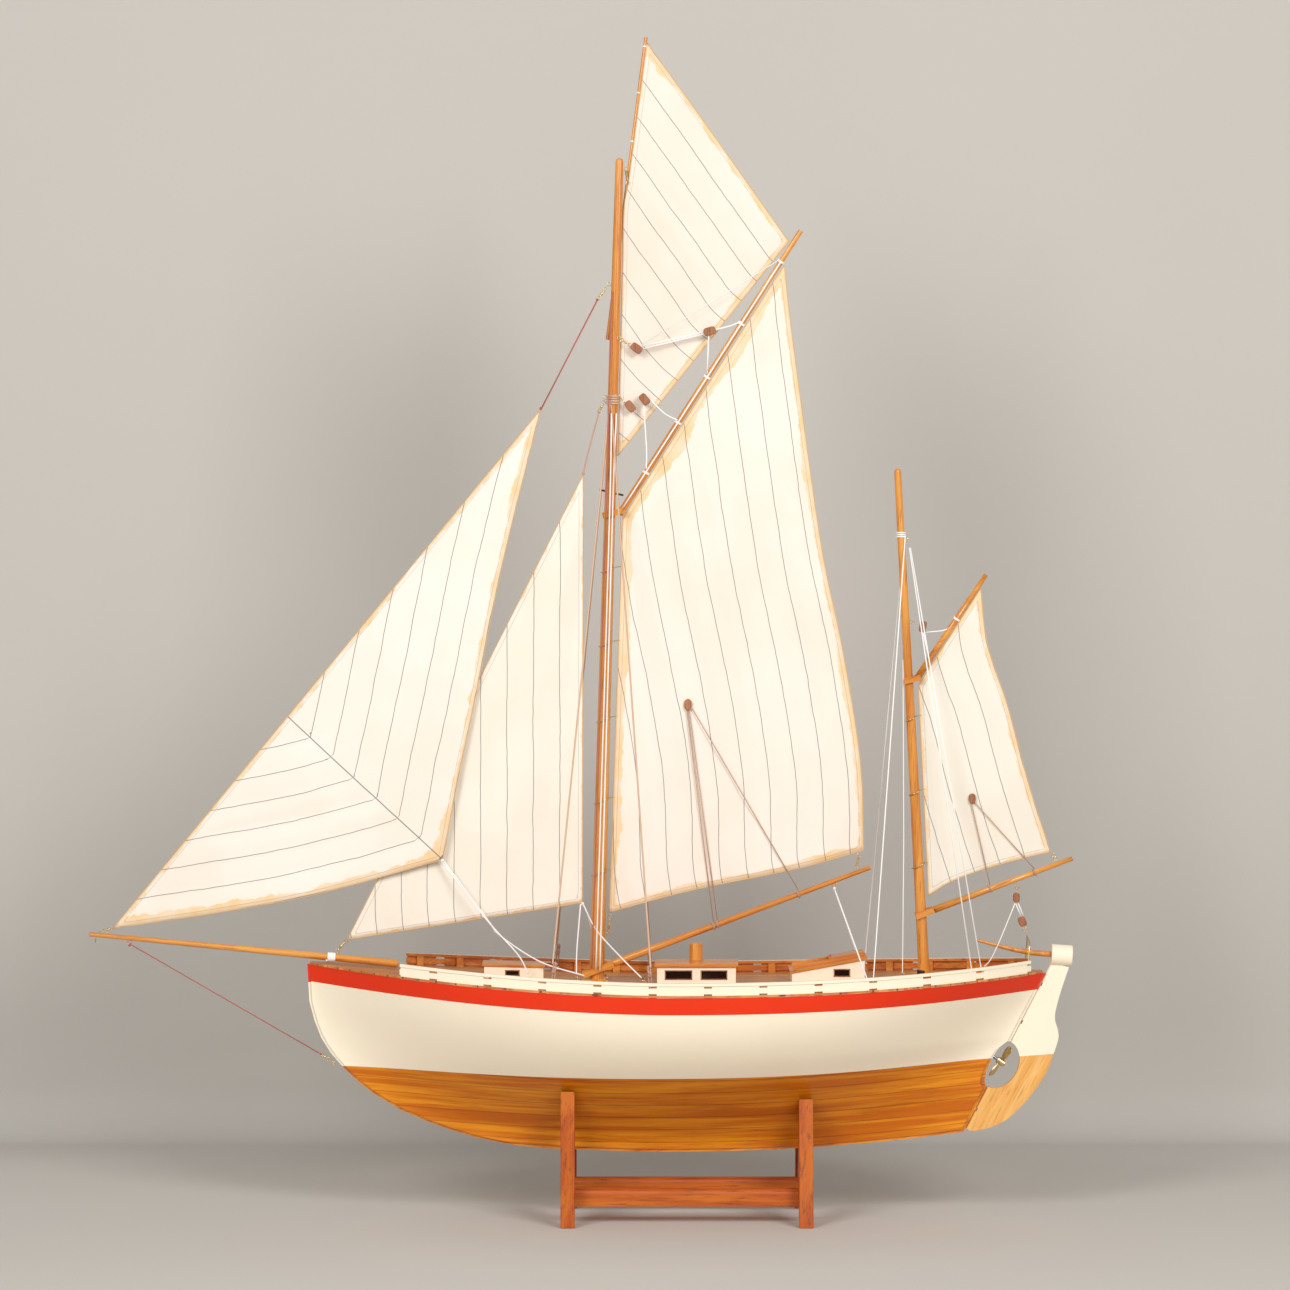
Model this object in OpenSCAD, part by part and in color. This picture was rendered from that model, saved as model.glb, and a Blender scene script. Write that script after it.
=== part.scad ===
// Gaff-rigged wooden ketch model on a cradle stand.
// Millimetres. +Z up, floor at Z = 0, bow towards -X, port side towards -Y.

/* [Hull] */
// Half-breadth outside the planking at the widest station
half_beam = 120; // [110:1:130]
// Height of the deck edge at its lowest point
sheer_low = 233; // [230:0.5:236]
// Rise of the deck edge from its lowest point to the stem
bow_rise = 22.5; // [18:0.5:26]
// Rise of the deck edge from its lowest point to the sternpost
stern_rise = 14; // [10:0.5:17]
// Thickness of the planking, measured across the boat
plank_t = 4; // [3:0.5:5]
// Height of the red sheer band
band_h = 17; // [14:0.5:20]

/* [Deck] */
// Thickness of the deck
deck_t = 2; // [1.5:0.5:3]
// Crown of the deck at the widest station
crown = 1.5; // [0.5:0.5:2]
// Height of the cap rail's top above the deck edge
rail_h = 14; // [12:1:18]
// Spacing of the bulwark stanchions
stanchion_pitch = 40; // [30:1:50]

/* [Rig] */
// Thickness of the sail cloth panels
cloth_t = 1; // [0.8:0.1:1.5]
// Diameter of the brown standing rigging
shroud_d = 1.8; // [1.2:0.1:2.2]
// Diameter of the white running rigging
cord_d = 1.4; // [1:0.1:1.8]
// How far the jib hangs off the centreline at rest, in degrees
jib_rest = 2; // [1:0.5:3]

/* [Stand] */
// Width of the stand's uprights along the boat
upright_w = 14; // [12:1:18]
// Station of the forward cradle frame
frame_fwd = -12; // [-30:1:0]
// Station of the aft cradle frame
frame_aft = 224; // [210:1:240]

/* [Drive] */
// Diameter of the propeller
prop_d = 36; // [32:1:38]
// Slope of the propeller shaft below level, in degrees
shaft_slope = 35; // [33:1:37]

/* [Hidden] */
$fn = 48;

wood = [0.80, 0.46, 0.18];
spar_wood = [0.86, 0.52, 0.20];
cream = [0.98, 0.91, 0.76];
red = [0.90, 0.20, 0.10];
canvas = [0.96, 0.93, 0.86];
brass = [0.85, 0.65, 0.30];
dark = [0.20, 0.15, 0.12];
white = [0.93, 0.92, 0.88];
brown = [0.36, 0.20, 0.10];
pink = [0.85, 0.45, 0.40];
grey = [0.45, 0.45, 0.47];

// ---------------------------------------------------------------- hull lines
// Everything on the hull is a point (u, v): u runs 0 to 1 from stem to sternpost,
// v runs 0 to 1 from the keel rabbet to the deck edge.
stations = 28;          // panels along the hull
keel_half = 4;          // half thickness of the backbone
edge_t = 2;             // planking thickness where it lands on the backbone
x_low = 90;             // station where the deck edge is lowest
x_stem = -274;
x_stern = 466;
u_wide = 0.505;         // where the hull is widest

// Stem profile as (height, station) offsets
stem = [[70, -30], [72.5, -55], [76, -80], [81.5, -105], [89, -130], [98, -155], [109, -180],
        [124, -205], [136, -221], [151, -237], [166, -250], [181, -259.5], [199, -266.5],
        [218, -271.5], [260, -274]];
heel = [383.5, 87];                 // foot of the sternpost
post_lean = atan2(83, 161);         // rake of the sternpost from upright
aperture_z = 155;                   // middle of the propeller aperture
aperture_half = 25.5;               // half its length along the sternpost
aperture_fwd = 8.3;                 // depth cut into the sternpost
aperture_aft = 20;                  // depth cut into the rudder, from the sternpost's face

function stem_x(z) = lookup(z, stem);
function post_x(z) = heel.x + (z - heel.y) * tan(post_lean);
function keel_z(x) = 67 + 0.00024 * pow(x - 95, 2);
function sheer_z(x) = sheer_low + (x < x_low ? bow_rise * pow((x_low - x) / (x_low - x_stem), 1.6)
                                             : stern_rise * pow((x - x_low) / (x_stern - x_low), 2));
function paint_z(x) = 149 + (x < 60 ? 0.000047 * pow(x - 60, 2) : 0.000095 * pow(x - 60, 2));

function cut_depth(z) = let (s = (z - aperture_z) / cos(post_lean) / aperture_half)
    abs(s) < 1 ? aperture_fwd * sqrt(1 - s * s) / cos(post_lean) : 0;
function low0() = keel_z(-52) + 3;
function low1() = heel.y + 3;
function bow_x(v) = stem_x(low0() + (sheer_z(x_stem) - low0()) * v) + 3;
function stern_z(v) = low1() + (sheer_z(x_stern) - low1()) * v;
function stern_x(v) = post_x(stern_z(v)) - 3.5 - cut_depth(stern_z(v));
function hull_x(u, v) = bow_x(v) + (stern_x(v) - bow_x(v)) * u;
function low(u) = keel_z(hull_x(u, 0)) + 3;
function top(u) = sheer_z(hull_x(u, 1));
function hull_z(u, v) = low(u) + (top(u) - low(u)) * v;
function off_wide(u) = u < u_wide ? (u_wide - u) / u_wide : (u - u_wide) / (1 - u_wide);
function section(u, v) = let (w = off_wide(u))
    1 - pow(1 - pow(v, 1.6 - 0.35 * w * w), 2.8 - 1.1 * w * w);
function plan(u, v) = pow(max(0, 1 - pow(off_wide(u), u < u_wide ? 2.4 : 2.8)), 1 + 1.2 * (1 - v));
function hull_y(u, v) = keel_half + edge_t + (half_beam - keel_half - edge_t) * section(u, v) * plan(u, v);
function inner_y(u, v) = max(keel_half, hull_y(u, v) - plank_t);
function station(i) = (1 - cos(180 * i / stations)) / 2;
function v_paint(u) = (paint_z(hull_x(u, 0.5)) - low(u)) / (top(u) - low(u));
function v_band(u) = 1 - band_h / (top(u) - low(u));
function u_at(x) = (x - bow_x(1)) / (stern_x(1) - bow_x(1));
function edge_y(x) = hull_y(u_at(x), 1);
function deck_z(x, y) = let (e = edge_y(x)) sheer_z(x) + deck_t
    + crown * e / half_beam * (1 - pow(min(1, abs(y) / e), 2));

// One closed strip of planking between two levels, starboard side
module strip(rows, level) {
    w = rows + 1;
    m = (stations + 1) * w;
    function v(i, r) = level(station(i), r / rows);
    points = concat(
        [for (i = [0:stations]) for (r = [0:rows]) let (u = station(i), q = v(i, r))
            [hull_x(u, q), hull_y(u, q), hull_z(u, q)]],
        [for (i = [0:stations]) for (r = [0:rows]) let (u = station(i), q = v(i, r))
            [hull_x(u, q), inner_y(u, q), hull_z(u, q)]]);
    function o(i, r) = i * w + r;
    function n(i, r) = m + i * w + r;
    faces = concat(
        [for (i = [0:stations - 1]) for (r = [0:rows - 1]) each
            [[o(i, r), o(i + 1, r), o(i + 1, r + 1)], [o(i, r), o(i + 1, r + 1), o(i, r + 1)],
             [n(i, r), n(i + 1, r + 1), n(i + 1, r)], [n(i, r), n(i, r + 1), n(i + 1, r + 1)]]],
        [for (i = [0:stations - 1]) each
            [[o(i, 0), n(i, 0), n(i + 1, 0), o(i + 1, 0)],
             [o(i + 1, rows), n(i + 1, rows), n(i, rows), o(i, rows)]]],
        [for (r = [0:rows - 1]) each
            [[o(0, r), o(0, r + 1), n(0, r + 1), n(0, r)],
             [n(stations, r), n(stations, r + 1), o(stations, r + 1), o(stations, r)]]]);
    polyhedron(points, faces);
}
module both_sides() { children(); mirror([0, 1, 0]) children(); }

// ---------------------------------------------------------------- small tools
function unit(a) = a / norm(a);

// Round bar between two points
module bar(a, b, d1, d2 = undef) {
    v = b - a;
    translate(a) rotate([0, acos(v.z / norm(v)), atan2(v.y, v.x)])
        cylinder(h = norm(v), d1 = d1, d2 = is_undef(d2) ? d1 : d2);
}
// Closed solid through a list of rings with equal point counts
module skin(rings) {
    m = len(rings[0]);
    n = len(rings);
    polyhedron([for (r = rings) each r], concat(
        [[for (k = [0:m - 1]) k]],
        [for (i = [0:n - 2]) for (k = [0:m - 1]) let (j = (k + 1) % m) each
            [[i * m + k, (i + 1) * m + k, (i + 1) * m + j], [i * m + k, (i + 1) * m + j, i * m + j]]],
        [[for (k = [0:m - 1]) (n - 1) * m + m - 1 - k]]));
}
// Bent cord through a list of points
module cord(p, d = cord_d, sides = 6, across = [0, 1, 0]) {
    n = len(p);
    function heading(i) = unit((i > 0 ? unit(p[i] - p[i - 1]) : [0, 0, 0])
                               + (i < n - 1 ? unit(p[i + 1] - p[i]) : [0, 0, 0]));
    skin([for (i = [0:n - 1]) let (h = heading(i), a = unit(cross(h, across)), b = cross(h, a))
        [for (k = [0:sides - 1]) p[i] + d / 2 * (cos(360 * k / sides) * a + sin(360 * k / sides) * b)]]);
}
// Wire ring: centre, ring radius, wire diameter, and the ring's axis
module ring(c, r, d, axis = [0, 1, 0]) {
    translate(c) rotate([0, acos(axis.z / norm(axis)), atan2(axis.y, axis.x)])
        rotate_extrude($fn = 32) translate([r, 0]) circle(d = d, $fn = 16);
}
// Outline rounded off through the given (X, Z) points
function rounded(p, n = 4) = concat([for (i = [0:len(p) - 2]) for (k = [0:n - 1])
    let (t = k / n, a = p[max(i - 1, 0)], b = p[i], c = p[i + 1], d = p[min(i + 2, len(p) - 1)])
    (2 * b + (c - a) * t + (2 * a - 5 * b + 4 * c - d) * t * t + (3 * b - a - 3 * c + d) * t * t * t) / 2],
    [p[len(p) - 1]]);
// Flat panel in the plane of the masts, cut from a list of (X, Z) points
module panel(outline, t, y = 0) {
    translate([0, y + t / 2, 0]) rotate([90, 0, 0]) linear_extrude(t) polygon(outline);
}
// Round-cornered pulley block: centre, length, width, thickness, lean from upright
module pulley(c, long, wide, t, lean = 0) {
    translate(c) rotate([0, lean, 0]) rotate([90, 0, 0])
        linear_extrude(t, center = true)
            polygon([for (a = [0:15:345]) [wide / 2 * sign(cos(a)) * sqrt(abs(cos(a))),
                                           long / 2 * sign(sin(a)) * sqrt(abs(sin(a)))]]);
}
// Brass swivel snap from a to b: a loop at each end of a barrel
module snap(a, b) {
    h = unit(b - a);
    side = [0, 1, 0];
    ring(a + 2.2 * h, 1.7, 0.7, side);
    bar(a + 4.2 * h, b - 4.2 * h, 2.2);
    ring(b - 2.2 * h, 1.7, 0.7, side);
    bar(a + 3.2 * h, a + 4.4 * h, 0.9);
    bar(b - 4.4 * h, b - 3.2 * h, 0.9);
}

// ---------------------------------------------------------------- rig positions
function main_x(z) = 16.5 + (z - 253) * 22.5 / 804;
function main_r(z) = z < 950 ? 7.5 - (z - 240) * 2.75 / 710 : 4.75 - (z - 950) * 0.75 / 107;
function mizzen_x(z) = 343.5 - (z - 260) * 26.5 / 488;
function mizzen_r(z) = 5.75 - (z - 250) * 2.25 / 498;
main_foot = 237.8;
main_head = 1057;
mizzen_foot = 242;
mizzen_head = 748;
boom_a = [2.5, 0, 244.5];
boom_b = [290, 0, 352];
gaff_a = [38.8, 0, 705];
gaff_b = [220, 0, 988.4];
mboom_a = [347.5, 0, 307];
mboom_b = [492.5, 0, 361];
mgaff_a = [334.5, 0, 538];
mgaff_b = [405.5, 0, 645];
sprit_a = [-183, 0, 255.5];
sprit_b = [-492.5, 0, 285];
jib_tack = [-480, 0, 288];
jib_eye = [29, 0, 935];
stay_tack = [-248.5, 0, 263];
stay_eye = [25.5, 0, 822];
function boom_at(x) = boom_a + (boom_b - boom_a) * (x - boom_a.x) / (boom_b.x - boom_a.x);
function gaff_at(x) = gaff_a + (gaff_b - gaff_a) * (x - gaff_a.x) / (gaff_b.x - gaff_a.x);
function mboom_at(x) = mboom_a + (mboom_b - mboom_a) * (x - mboom_a.x) / (mboom_b.x - mboom_a.x);
function between(a, b, t) = a + (b - a) * t;
function sprit_at(x) = sprit_a + (sprit_b - sprit_a) * (x - sprit_a.x) / (sprit_b.x - sprit_a.x);

// Deck fastening points, port side; the starboard ones mirror them
main_chain = [[-26, -101, 0], [70, -104, 0]];
mizzen_chain = [288.5, -89, 0];
main_sheet_foot = [284, -80, 0];
function on_deck(p, up = 0) = [p.x, p.y, deck_z(p.x, p.y) + up];
function flip(p) = [p.x, -p.y, p.z];

// ---------------------------------------------------------------- stand
foot_y = 72;
cradle_top = [133, 124];        // tops of the forward and aft uprights, under the hull's skin
frames_x = [frame_fwd, frame_aft];
stand_t = 11;                   // uprights across the boat
rail_t = upright_w - 4;         // cross rails along the boat
function v_of(u, z) = (z - low(u)) / (top(u) - low(u));
function hull_u(x, v) = (x - bow_x(v)) / (stern_x(v) - bow_x(v));
function skin_y(x, z) = let (v = v_of(u_at(x), z)) hull_y(hull_u(x, v), v);

module stand_uprights() {
    color(spar_wood) for (k = [0, 1]) let (x = frames_x[k], z = cradle_top[k], y = skin_y(x, z) + 1.2)
        both_sides() translate([x - upright_w / 2, 0, 0]) rotate([90, 0, 90]) linear_extrude(upright_w)
            polygon([[foot_y - stand_t, 0], [foot_y, 0], [y + stand_t, z + 2], [y + 2.5, z],
                     [skin_y(x, z - 24) + 4.5, z - 25]]);
}
module stand_cross_rails() {
    color(spar_wood) for (x = frames_x) let (z = keel_z(x) - 3.3)
        translate([x - rail_t / 2, 0, 0]) rotate([90, 0, 90]) linear_extrude(rail_t)
            polygon([[-58, 36], [58, 36], [54, z - 12], [16, z], [-16, z], [-54, z - 12]]);
}
module stand_stretchers() {
    color(spar_wood) both_sides() {
        translate([frame_fwd - rail_t / 2, 34, 18])
            cube([frame_aft - frame_fwd + rail_t, 12, 12]);
        translate([frame_fwd - rail_t / 2, 40, 30]) rotate([0, 90, 0])
            cylinder(h = frame_aft - frame_fwd + rail_t, r = 5.9);
    }
}
module stand_pads() {
    color(dark) {
        for (k = [0, 1]) let (x = frames_x[k], z = cradle_top[k])
            both_sides() translate([x - upright_w / 2, 0, 0]) rotate([90, 0, 90]) linear_extrude(upright_w)
                polygon([for (s = [0:6:24]) [skin_y(x, z - s) + 1.2, z - s - 0.6],
                         [skin_y(x, z - 24) + 4.4, z - 25], [skin_y(x, z) + 3.6, z]]);
        for (x = frames_x) translate([x - rail_t / 2, -10, keel_z(x) - 3.3])
            cube([rail_t, 20, 2.9]);
    }
}

// ---------------------------------------------------------------- hull
shaft_dir = [cos(shaft_slope), 0, -sin(shaft_slope)];
prop_hub = [421.8, 0, 156.5];
function shaft_at(s) = prop_hub - s * shaft_dir;

// Half oval along the sternpost, reaching depth d to one side of its face
module aperture(d) {
    translate([post_x(aperture_z), 10, aperture_z]) rotate([0, post_lean, 0]) rotate([90, 0, 0])
        linear_extrude(20) polygon([for (a = [-90:7.5:90]) [d * cos(a), aperture_half * sin(a)]]);
}
module backbone() {
    outer = concat([for (k = [len(stem) - 1:-1:0]) let (z = min(stem[k][0], sheer_z(x_stem))) [stem_x(z), z]],
                   [for (x = [0:32:352]) [x, keel_z(x)]], [heel],
                   [[post_x(sheer_z(x_stern)) - 0.4, sheer_z(x_stern) - 0.8]]);
    inner = [[444, 244], [398, 158], [330, 108], [250, 92], [95, 84], [-30, 86], [-100, 96], [-150, 112],
             [-195, 138], [-222, 165], [-243, 195], [-255, 225], [-258, sheer_z(-258) - 0.2]];
    color(wood) difference() {
        panel(concat(outer, inner), 2 * keel_half);
        aperture(-aperture_fwd);
        aperture(1);
        bar(shaft_at(0), shaft_at(90), 6);
        for (z = gudgeon_z) translate([post_x(z), 0, z]) rotate([0, post_lean, 0])
            translate([-8.02, -1.5, -1.5]) cube([9, 3, 3]);
    }
}
module bottom_planking() {
    color(wood) both_sides() strip(8, function (u, t) v_paint(u) * t);
}
module topside_planking() {
    color(cream) both_sides() strip(4, function (u, t) v_paint(u) + (v_band(u) - v_paint(u)) * t);
}
module sheer_band() {
    color(red) both_sides() strip(1, function (u, t) v_band(u) + (1 - v_band(u)) * t);
}
// Transverse frames: a floor up to the shelf and two legs up to the deck
frame_stations = [-150, -60, 20, 110, 200, 290, 350];
shelf_z = 122;
module hull_frames() {
    function rib(x, v) = let (u = hull_u(x, v)) [inner_y(u, v) - 2.2, hull_z(u, v)];
    color(wood) for (x = frame_stations) let (
        legs = [for (v = [0.2:0.1:0.9]) rib(x, v)], all = concat([[1.2, legs[0][1] - 1]], legs),
        z_top = deck_z(x, all[8][0]) - deck_t - 1)
        difference() {
            translate([x - 1.5, 0, 0]) rotate([90, 0, 90]) linear_extrude(3)
                polygon(concat(all, [[-all[8][0], all[8][1]]],
                               [for (k = [7:-1:0]) [-all[k][0], all[k][1]]]));
            translate([x - 5, -rib(x, 0.7)[0] + 12, max(shelf_z, all[1][1] + 8)])
                cube([10, 2 * rib(x, 0.7)[0] - 24, 200]);
        }
}
module deck() {
    rows = 6;
    w = rows + 1;
    m = (stations + 1) * w;
    function at(i, j, up) = let (u = station(i), e = hull_y(u, 1) + 0.8, s = 2 * j / rows - 1)
        [hull_x(u, 1), e * s, top(u) + up + crown * e / half_beam * (1 - s * s)];
    function t(i, j) = i * w + j;
    function b(i, j) = m + i * w + j;
    color(wood) polyhedron(
        [for (up = [deck_t, 0]) for (i = [0:stations]) for (j = [0:rows]) at(i, j, up)],
        concat(
            [for (i = [0:stations - 1]) for (j = [0:rows - 1]) each
                [[t(i, j), t(i, j + 1), t(i + 1, j + 1)], [t(i, j), t(i + 1, j + 1), t(i + 1, j)],
                 [b(i, j), b(i + 1, j + 1), b(i, j + 1)], [b(i, j), b(i + 1, j), b(i + 1, j + 1)]]],
            [for (i = [0:stations - 1]) each
                [[t(i, 0), t(i + 1, 0), b(i + 1, 0), b(i, 0)],
                 [t(i + 1, rows), t(i, rows), b(i, rows), b(i + 1, rows)]]],
            [for (j = [0:rows - 1]) each
                [[t(0, j + 1), t(0, j), b(0, j), b(0, j + 1)],
                 [t(stations, j), t(stations, j + 1), b(stations, j + 1), b(stations, j)]]]));
}
// Strip following the starboard deck edge: inset from the edge, width, heights above the deck edge
rail_x = [-178, 450];
module rail(inset, width, z0, z1) {
    n = 26;
    skin([for (i = [0:n]) let (x = rail_x[0] + (rail_x[1] - rail_x[0]) * i / n,
                               y = edge_y(x) - inset, z = sheer_z(x) + deck_t)
        [[x, y, z + z1], [x, y - width, z + z1], [x, y - width, z + z0], [x, y, z + z0]]]);
}
module bulwark_boards() {
    color(cream) both_sides() rail(0.6, 1.8, 1.5, rail_h - deck_t - 5);
}
module cap_rails() {
    color(cream) both_sides() rail(-0.4, 6, rail_h - deck_t - 3, rail_h - deck_t);
}
module bulwark_stanchions() {
    color(wood) both_sides() for (x = [rail_x[0] + 13:stanchion_pitch:rail_x[1] - 6])
        let (turn = atan2(edge_y(x + 1) - edge_y(x - 1), 2))
            translate([x, edge_y(x) - 2.5, sheer_z(x) + deck_t - 0.8]) rotate([0, 0, turn])
                translate([-3.65, -3, 0]) cube([7.3, 3, rail_h - deck_t - 3 + 0.8]);
}
module bowsprit() {
    color(spar_wood) bar(sprit_a, sprit_b, 8, 4.5);
}
module bowsprit_fittings() {
    color(brass) {
        ring(jib_tack - [0, 0, 1.6], 1.9, 0.8);
        ring(stay_tack + [0, 0, 1.6], 2, 0.8);
        bar([-486, 0, 283.5], [-486, 0, 277], 1.4);
        ring([-452, 0, sprit_at(-452).z - 4.2], 2, 0.8);
    }
    color(white) for (x = [-253:2:-247]) let (c = sprit_at(x))
        translate(c) rotate([0, 90 - 5.4, 0]) rotate_extrude($fn = 32) translate([4.1, 0]) circle(d = 1.8, $fn = 12);
}
module bobstay() {
    color(pink) bar([-452, 0, 274.8], [-262, 0, 165.5], 1.2);
    color(brass) {
        snap([-261.5, 0, 165.2], [-250, 0, 158]);
        ring([-248, 0, 155.6], 1.6, 0.8);
    }
}
// Raked mast with two tapers
module main_mast() {
    a = [main_x(main_foot), 0, main_foot];
    m = [main_x(950), 0, 950];
    b = [main_x(main_head), 0, main_head];
    color(spar_wood) { bar(a, m, 2 * main_r(main_foot), 9.5); bar(m, b, 9.5, 8); }
    color(spar_wood) translate(b) rotate([0, atan2(22.5, 804), 0]) sphere(d = 7.8);
}
module mizzen_mast() {
    a = [mizzen_x(mizzen_foot), 0, mizzen_foot];
    b = [mizzen_x(mizzen_head), 0, mizzen_head];
    color(spar_wood) { bar(a, b, 11.5, 7); translate(b) sphere(d = 6.8); }
    color(dark) bar([mizzen_x(244), 0, 244], [mizzen_x(256), 0, 256], 13);
}
module mast_fittings() {
    color(brass) {
        for (p = [[stay_eye, -1], [jib_eye, -1]]) ring(p[0] + [p[1] * 0.6, 0, 0], 1.8, 0.8);
        for (z = [881, 824]) let (off = 0.7 * (main_r(z) + 1.4)) ring([main_x(z) + off, -off, z], 1.8, 0.8);
        ring([mizzen_x(598) + mizzen_r(598) + 1.4, 0, 598], 1.8, 0.8);
        ring([mizzen_x(680) + mizzen_r(680) + 1.4, 0, 680], 1.8, 0.8);
    }
    color(dark) bar([19, 0, 730], [43, 0, 724.4], 2);
}

// ---------------------------------------------------------------- deck structures
// Slab with a crowned top running along the boat, from x0 to x1
module roof(x0, x1, half, z0, z1, t, rise = 3) {
    lean = atan2(z1 - z0, x1 - x0);
    translate([x0, 0, z0]) rotate([0, -lean, 0]) rotate([90, 0, 90]) linear_extrude((x1 - x0) / cos(lean))
        polygon(concat([for (s = [-1:0.2:1.001]) [half * s, t + rise * (1 - s * s)]],
                       [for (s = [1:-0.2:-1.001]) [half * s, rise * (1 - s * s)]]));
}
// Hollow box of walls with a sloping top edge
module walls(x0, x1, half, z0, za, zb, t = 2.5) {
    difference() {
        panel([[x0, z0], [x1, z0], [x1, zb], [x0, za]], 2 * half);
        translate([x0 + t, -half + t, z0 - 1]) cube([x1 - x0 - 2 * t, 2 * (half - t), 60]);
    }
}
windows = [[-74.5, -61, 245.5, 250.5, 21], [84.8, 111, 242, 250.5, 24], [120.5, 146, 242, 250.5, 24],
           [253, 268.5, 245, 252, 25]];
module window_holes(k, grow = 0) {
    w = windows[k];
    translate([w[0] - grow, -40, w[2] - grow])
        cube([w[1] - w[0] + 2 * grow, 80, w[3] - w[2] + 2 * grow]);
}
module fore_hatch() {
    color(cream) difference() { walls(-96, -37, 21, 240.5, 255, 253.5); window_holes(0); }
}
module fore_hatch_lid() {
    color(wood) roof(-98, -35, 23, 255, 253.5, 2.2, 1.2);
}
module deckhouse_walls() {
    color(cream) difference() {
        walls(76.5, 155, 24, 235, 254.5, 254.5);
        window_holes(1);
        window_holes(2);
    }
}
module deckhouse_roof() {
    color(wood) roof(74, 157.5, 27, 254.5, 254.5, 3, 2);
}
module funnel() {
    color(spar_wood) difference() {
        translate([115.5, 0, 257]) cylinder(h = 19, d = 13.5);
        translate([115.5, 0, 266]) cylinder(h = 12, d = 9);
    }
}
hatch_x = [249, 283];
roof_a = [209, 248];
roof_b = [286, 262.2];
module aft_cabin_walls() {
    color(cream) difference() { walls(211, 283.5, 25, 236, 248.3, 261.7); window_holes(3); }
}
module aft_cabin_roof() {
    color(wood) difference() {
        roof(roof_a[0], roof_b[0], 27, roof_a[1], roof_b[1], 2.6, 1.6);
        translate([253, -10, 240]) cube([24, 20, 40]);
    }
    color(wood) both_sides() translate([roof_a[0], 0, roof_a[1]]) rotate([0, -atan2(14.2, 77), 0])
        translate([4, 16, 3.4]) cube([73, 2, 2.6]);
}
module cabin_windows() {
    color([0.15, 0.13, 0.12]) for (k = [0:3]) let (w = windows[k]) both_sides()
        translate([w[0], w[4] - 1.9, w[2]]) cube([w[1] - w[0], 1, w[3] - w[2]]);
}
module companion_hatch() {
    color(spar_wood) translate([roof_a[0], 0, roof_a[1]]) rotate([0, -atan2(14.2, 77), 0]) {
        translate([41, -15.6, 4.8]) cube([35, 31.2, 2.6]);
        translate([42, -2, 7.3]) cube([2.5, 4, 1.8]);
    }
}

// ---------------------------------------------------------------- standing rigging
shroud_top = [30, 0, 825];
mshroud_top = [325, 0, 690];
module main_shrouds() {
    color(brown) {
        both_sides() for (p = main_chain) let (a = on_deck(p, 26), h = unit(shroud_top - a))
            bar(a, shroud_top - h * 8 + [0, -2.5, 0], shroud_d);
        for (z = [816:2.4:823.5]) translate([main_x(z), 0, z]) rotate([0, 1.6, 0])
            rotate_extrude($fn = 32) translate([main_r(z) + 0.6, 0]) circle(d = 2, $fn = 12);
    }
}
module mizzen_shrouds() {
    color(white) {
        both_sides() let (a = on_deck(mizzen_chain, 5), h = unit(mshroud_top - a))
            bar(a, mshroud_top - h * 6 + [0, -1.6, 0], 1.2);
        for (z = [683:2:688]) translate([mizzen_x(z), 0, z]) rotate_extrude($fn = 32)
            translate([mizzen_r(z) + 0.4, 0]) circle(d = 1.4, $fn = 12);
        bar([322.5, 0, deck_z(322.5, 0) + 5], [323.6, 0, 380], 1);
        bar([323.6, 0, 380], [mizzen_x(560) - 4.6, 0, 560], 0.9);
    }
}
module shroud_lanyards() {
    both_sides() for (p = main_chain) let (a = on_deck(p, 5), b = on_deck(p, 26), h = unit(shroud_top - b)) {
        color(brown) bar(a, b, 3.2);
        color(brown) translate(b) sphere(d = 5);
        color(brass) translate(a + [0, 0, 1.2]) sphere(d = 4.4);
        color(brown) translate(a + [0, 0, 10]) sphere(d = 4.6);
    }
}
eye_list = concat([for (p = main_chain) each [p, flip(p)]],
    [mizzen_chain, flip(mizzen_chain), main_sheet_foot, flip(main_sheet_foot), [322.5, 0, 0],
     [-4, -14, 0], [63, -30, 0], [63, 30, 0], [-50, -40, 0], [-50, 40, 0], [25.5, -12.5, 0]]);
module deck_eyes() {
    color(brass) for (p = eye_list) {
        bar(on_deck(p, -1), on_deck(p, 1.4), 1.2);
        ring(on_deck(p, 2.8), 1.9, 0.8);
    }
}
cleat_list = [[19.5, -26, 0], [19.5, 26, 0], [403, 0, 0], [8, -34, 0]];
module deck_cleats() {
    color(spar_wood) for (p = cleat_list) let (a = on_deck(p)) {
        translate(a + [-2.5, -1.2, -0.8]) cube([5, 2.4, 3.4]);
        bar(a + [-6.5, 0, 3.2], a + [6.5, 0, 3.2], 2.2);
    }
}
// Wire bow over the tiller, its legs let into the rails
horse_half = 16.7;
module sheet_horse() {
    foot = [446, deck_z(446, 0) - 1.5];
    half = [[foot.x, horse_half, foot.y], [448.5, horse_half, 272], [448.5, horse_half - 2.8, 278],
            [447.5, 6, 282], [447.3, 0, 283]];
    color(brass) cord(concat([for (p = half) flip(p)], [for (k = [3:-1:0]) half[k]]), 1.5, 8, [1, 0, 0]);
}

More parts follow.
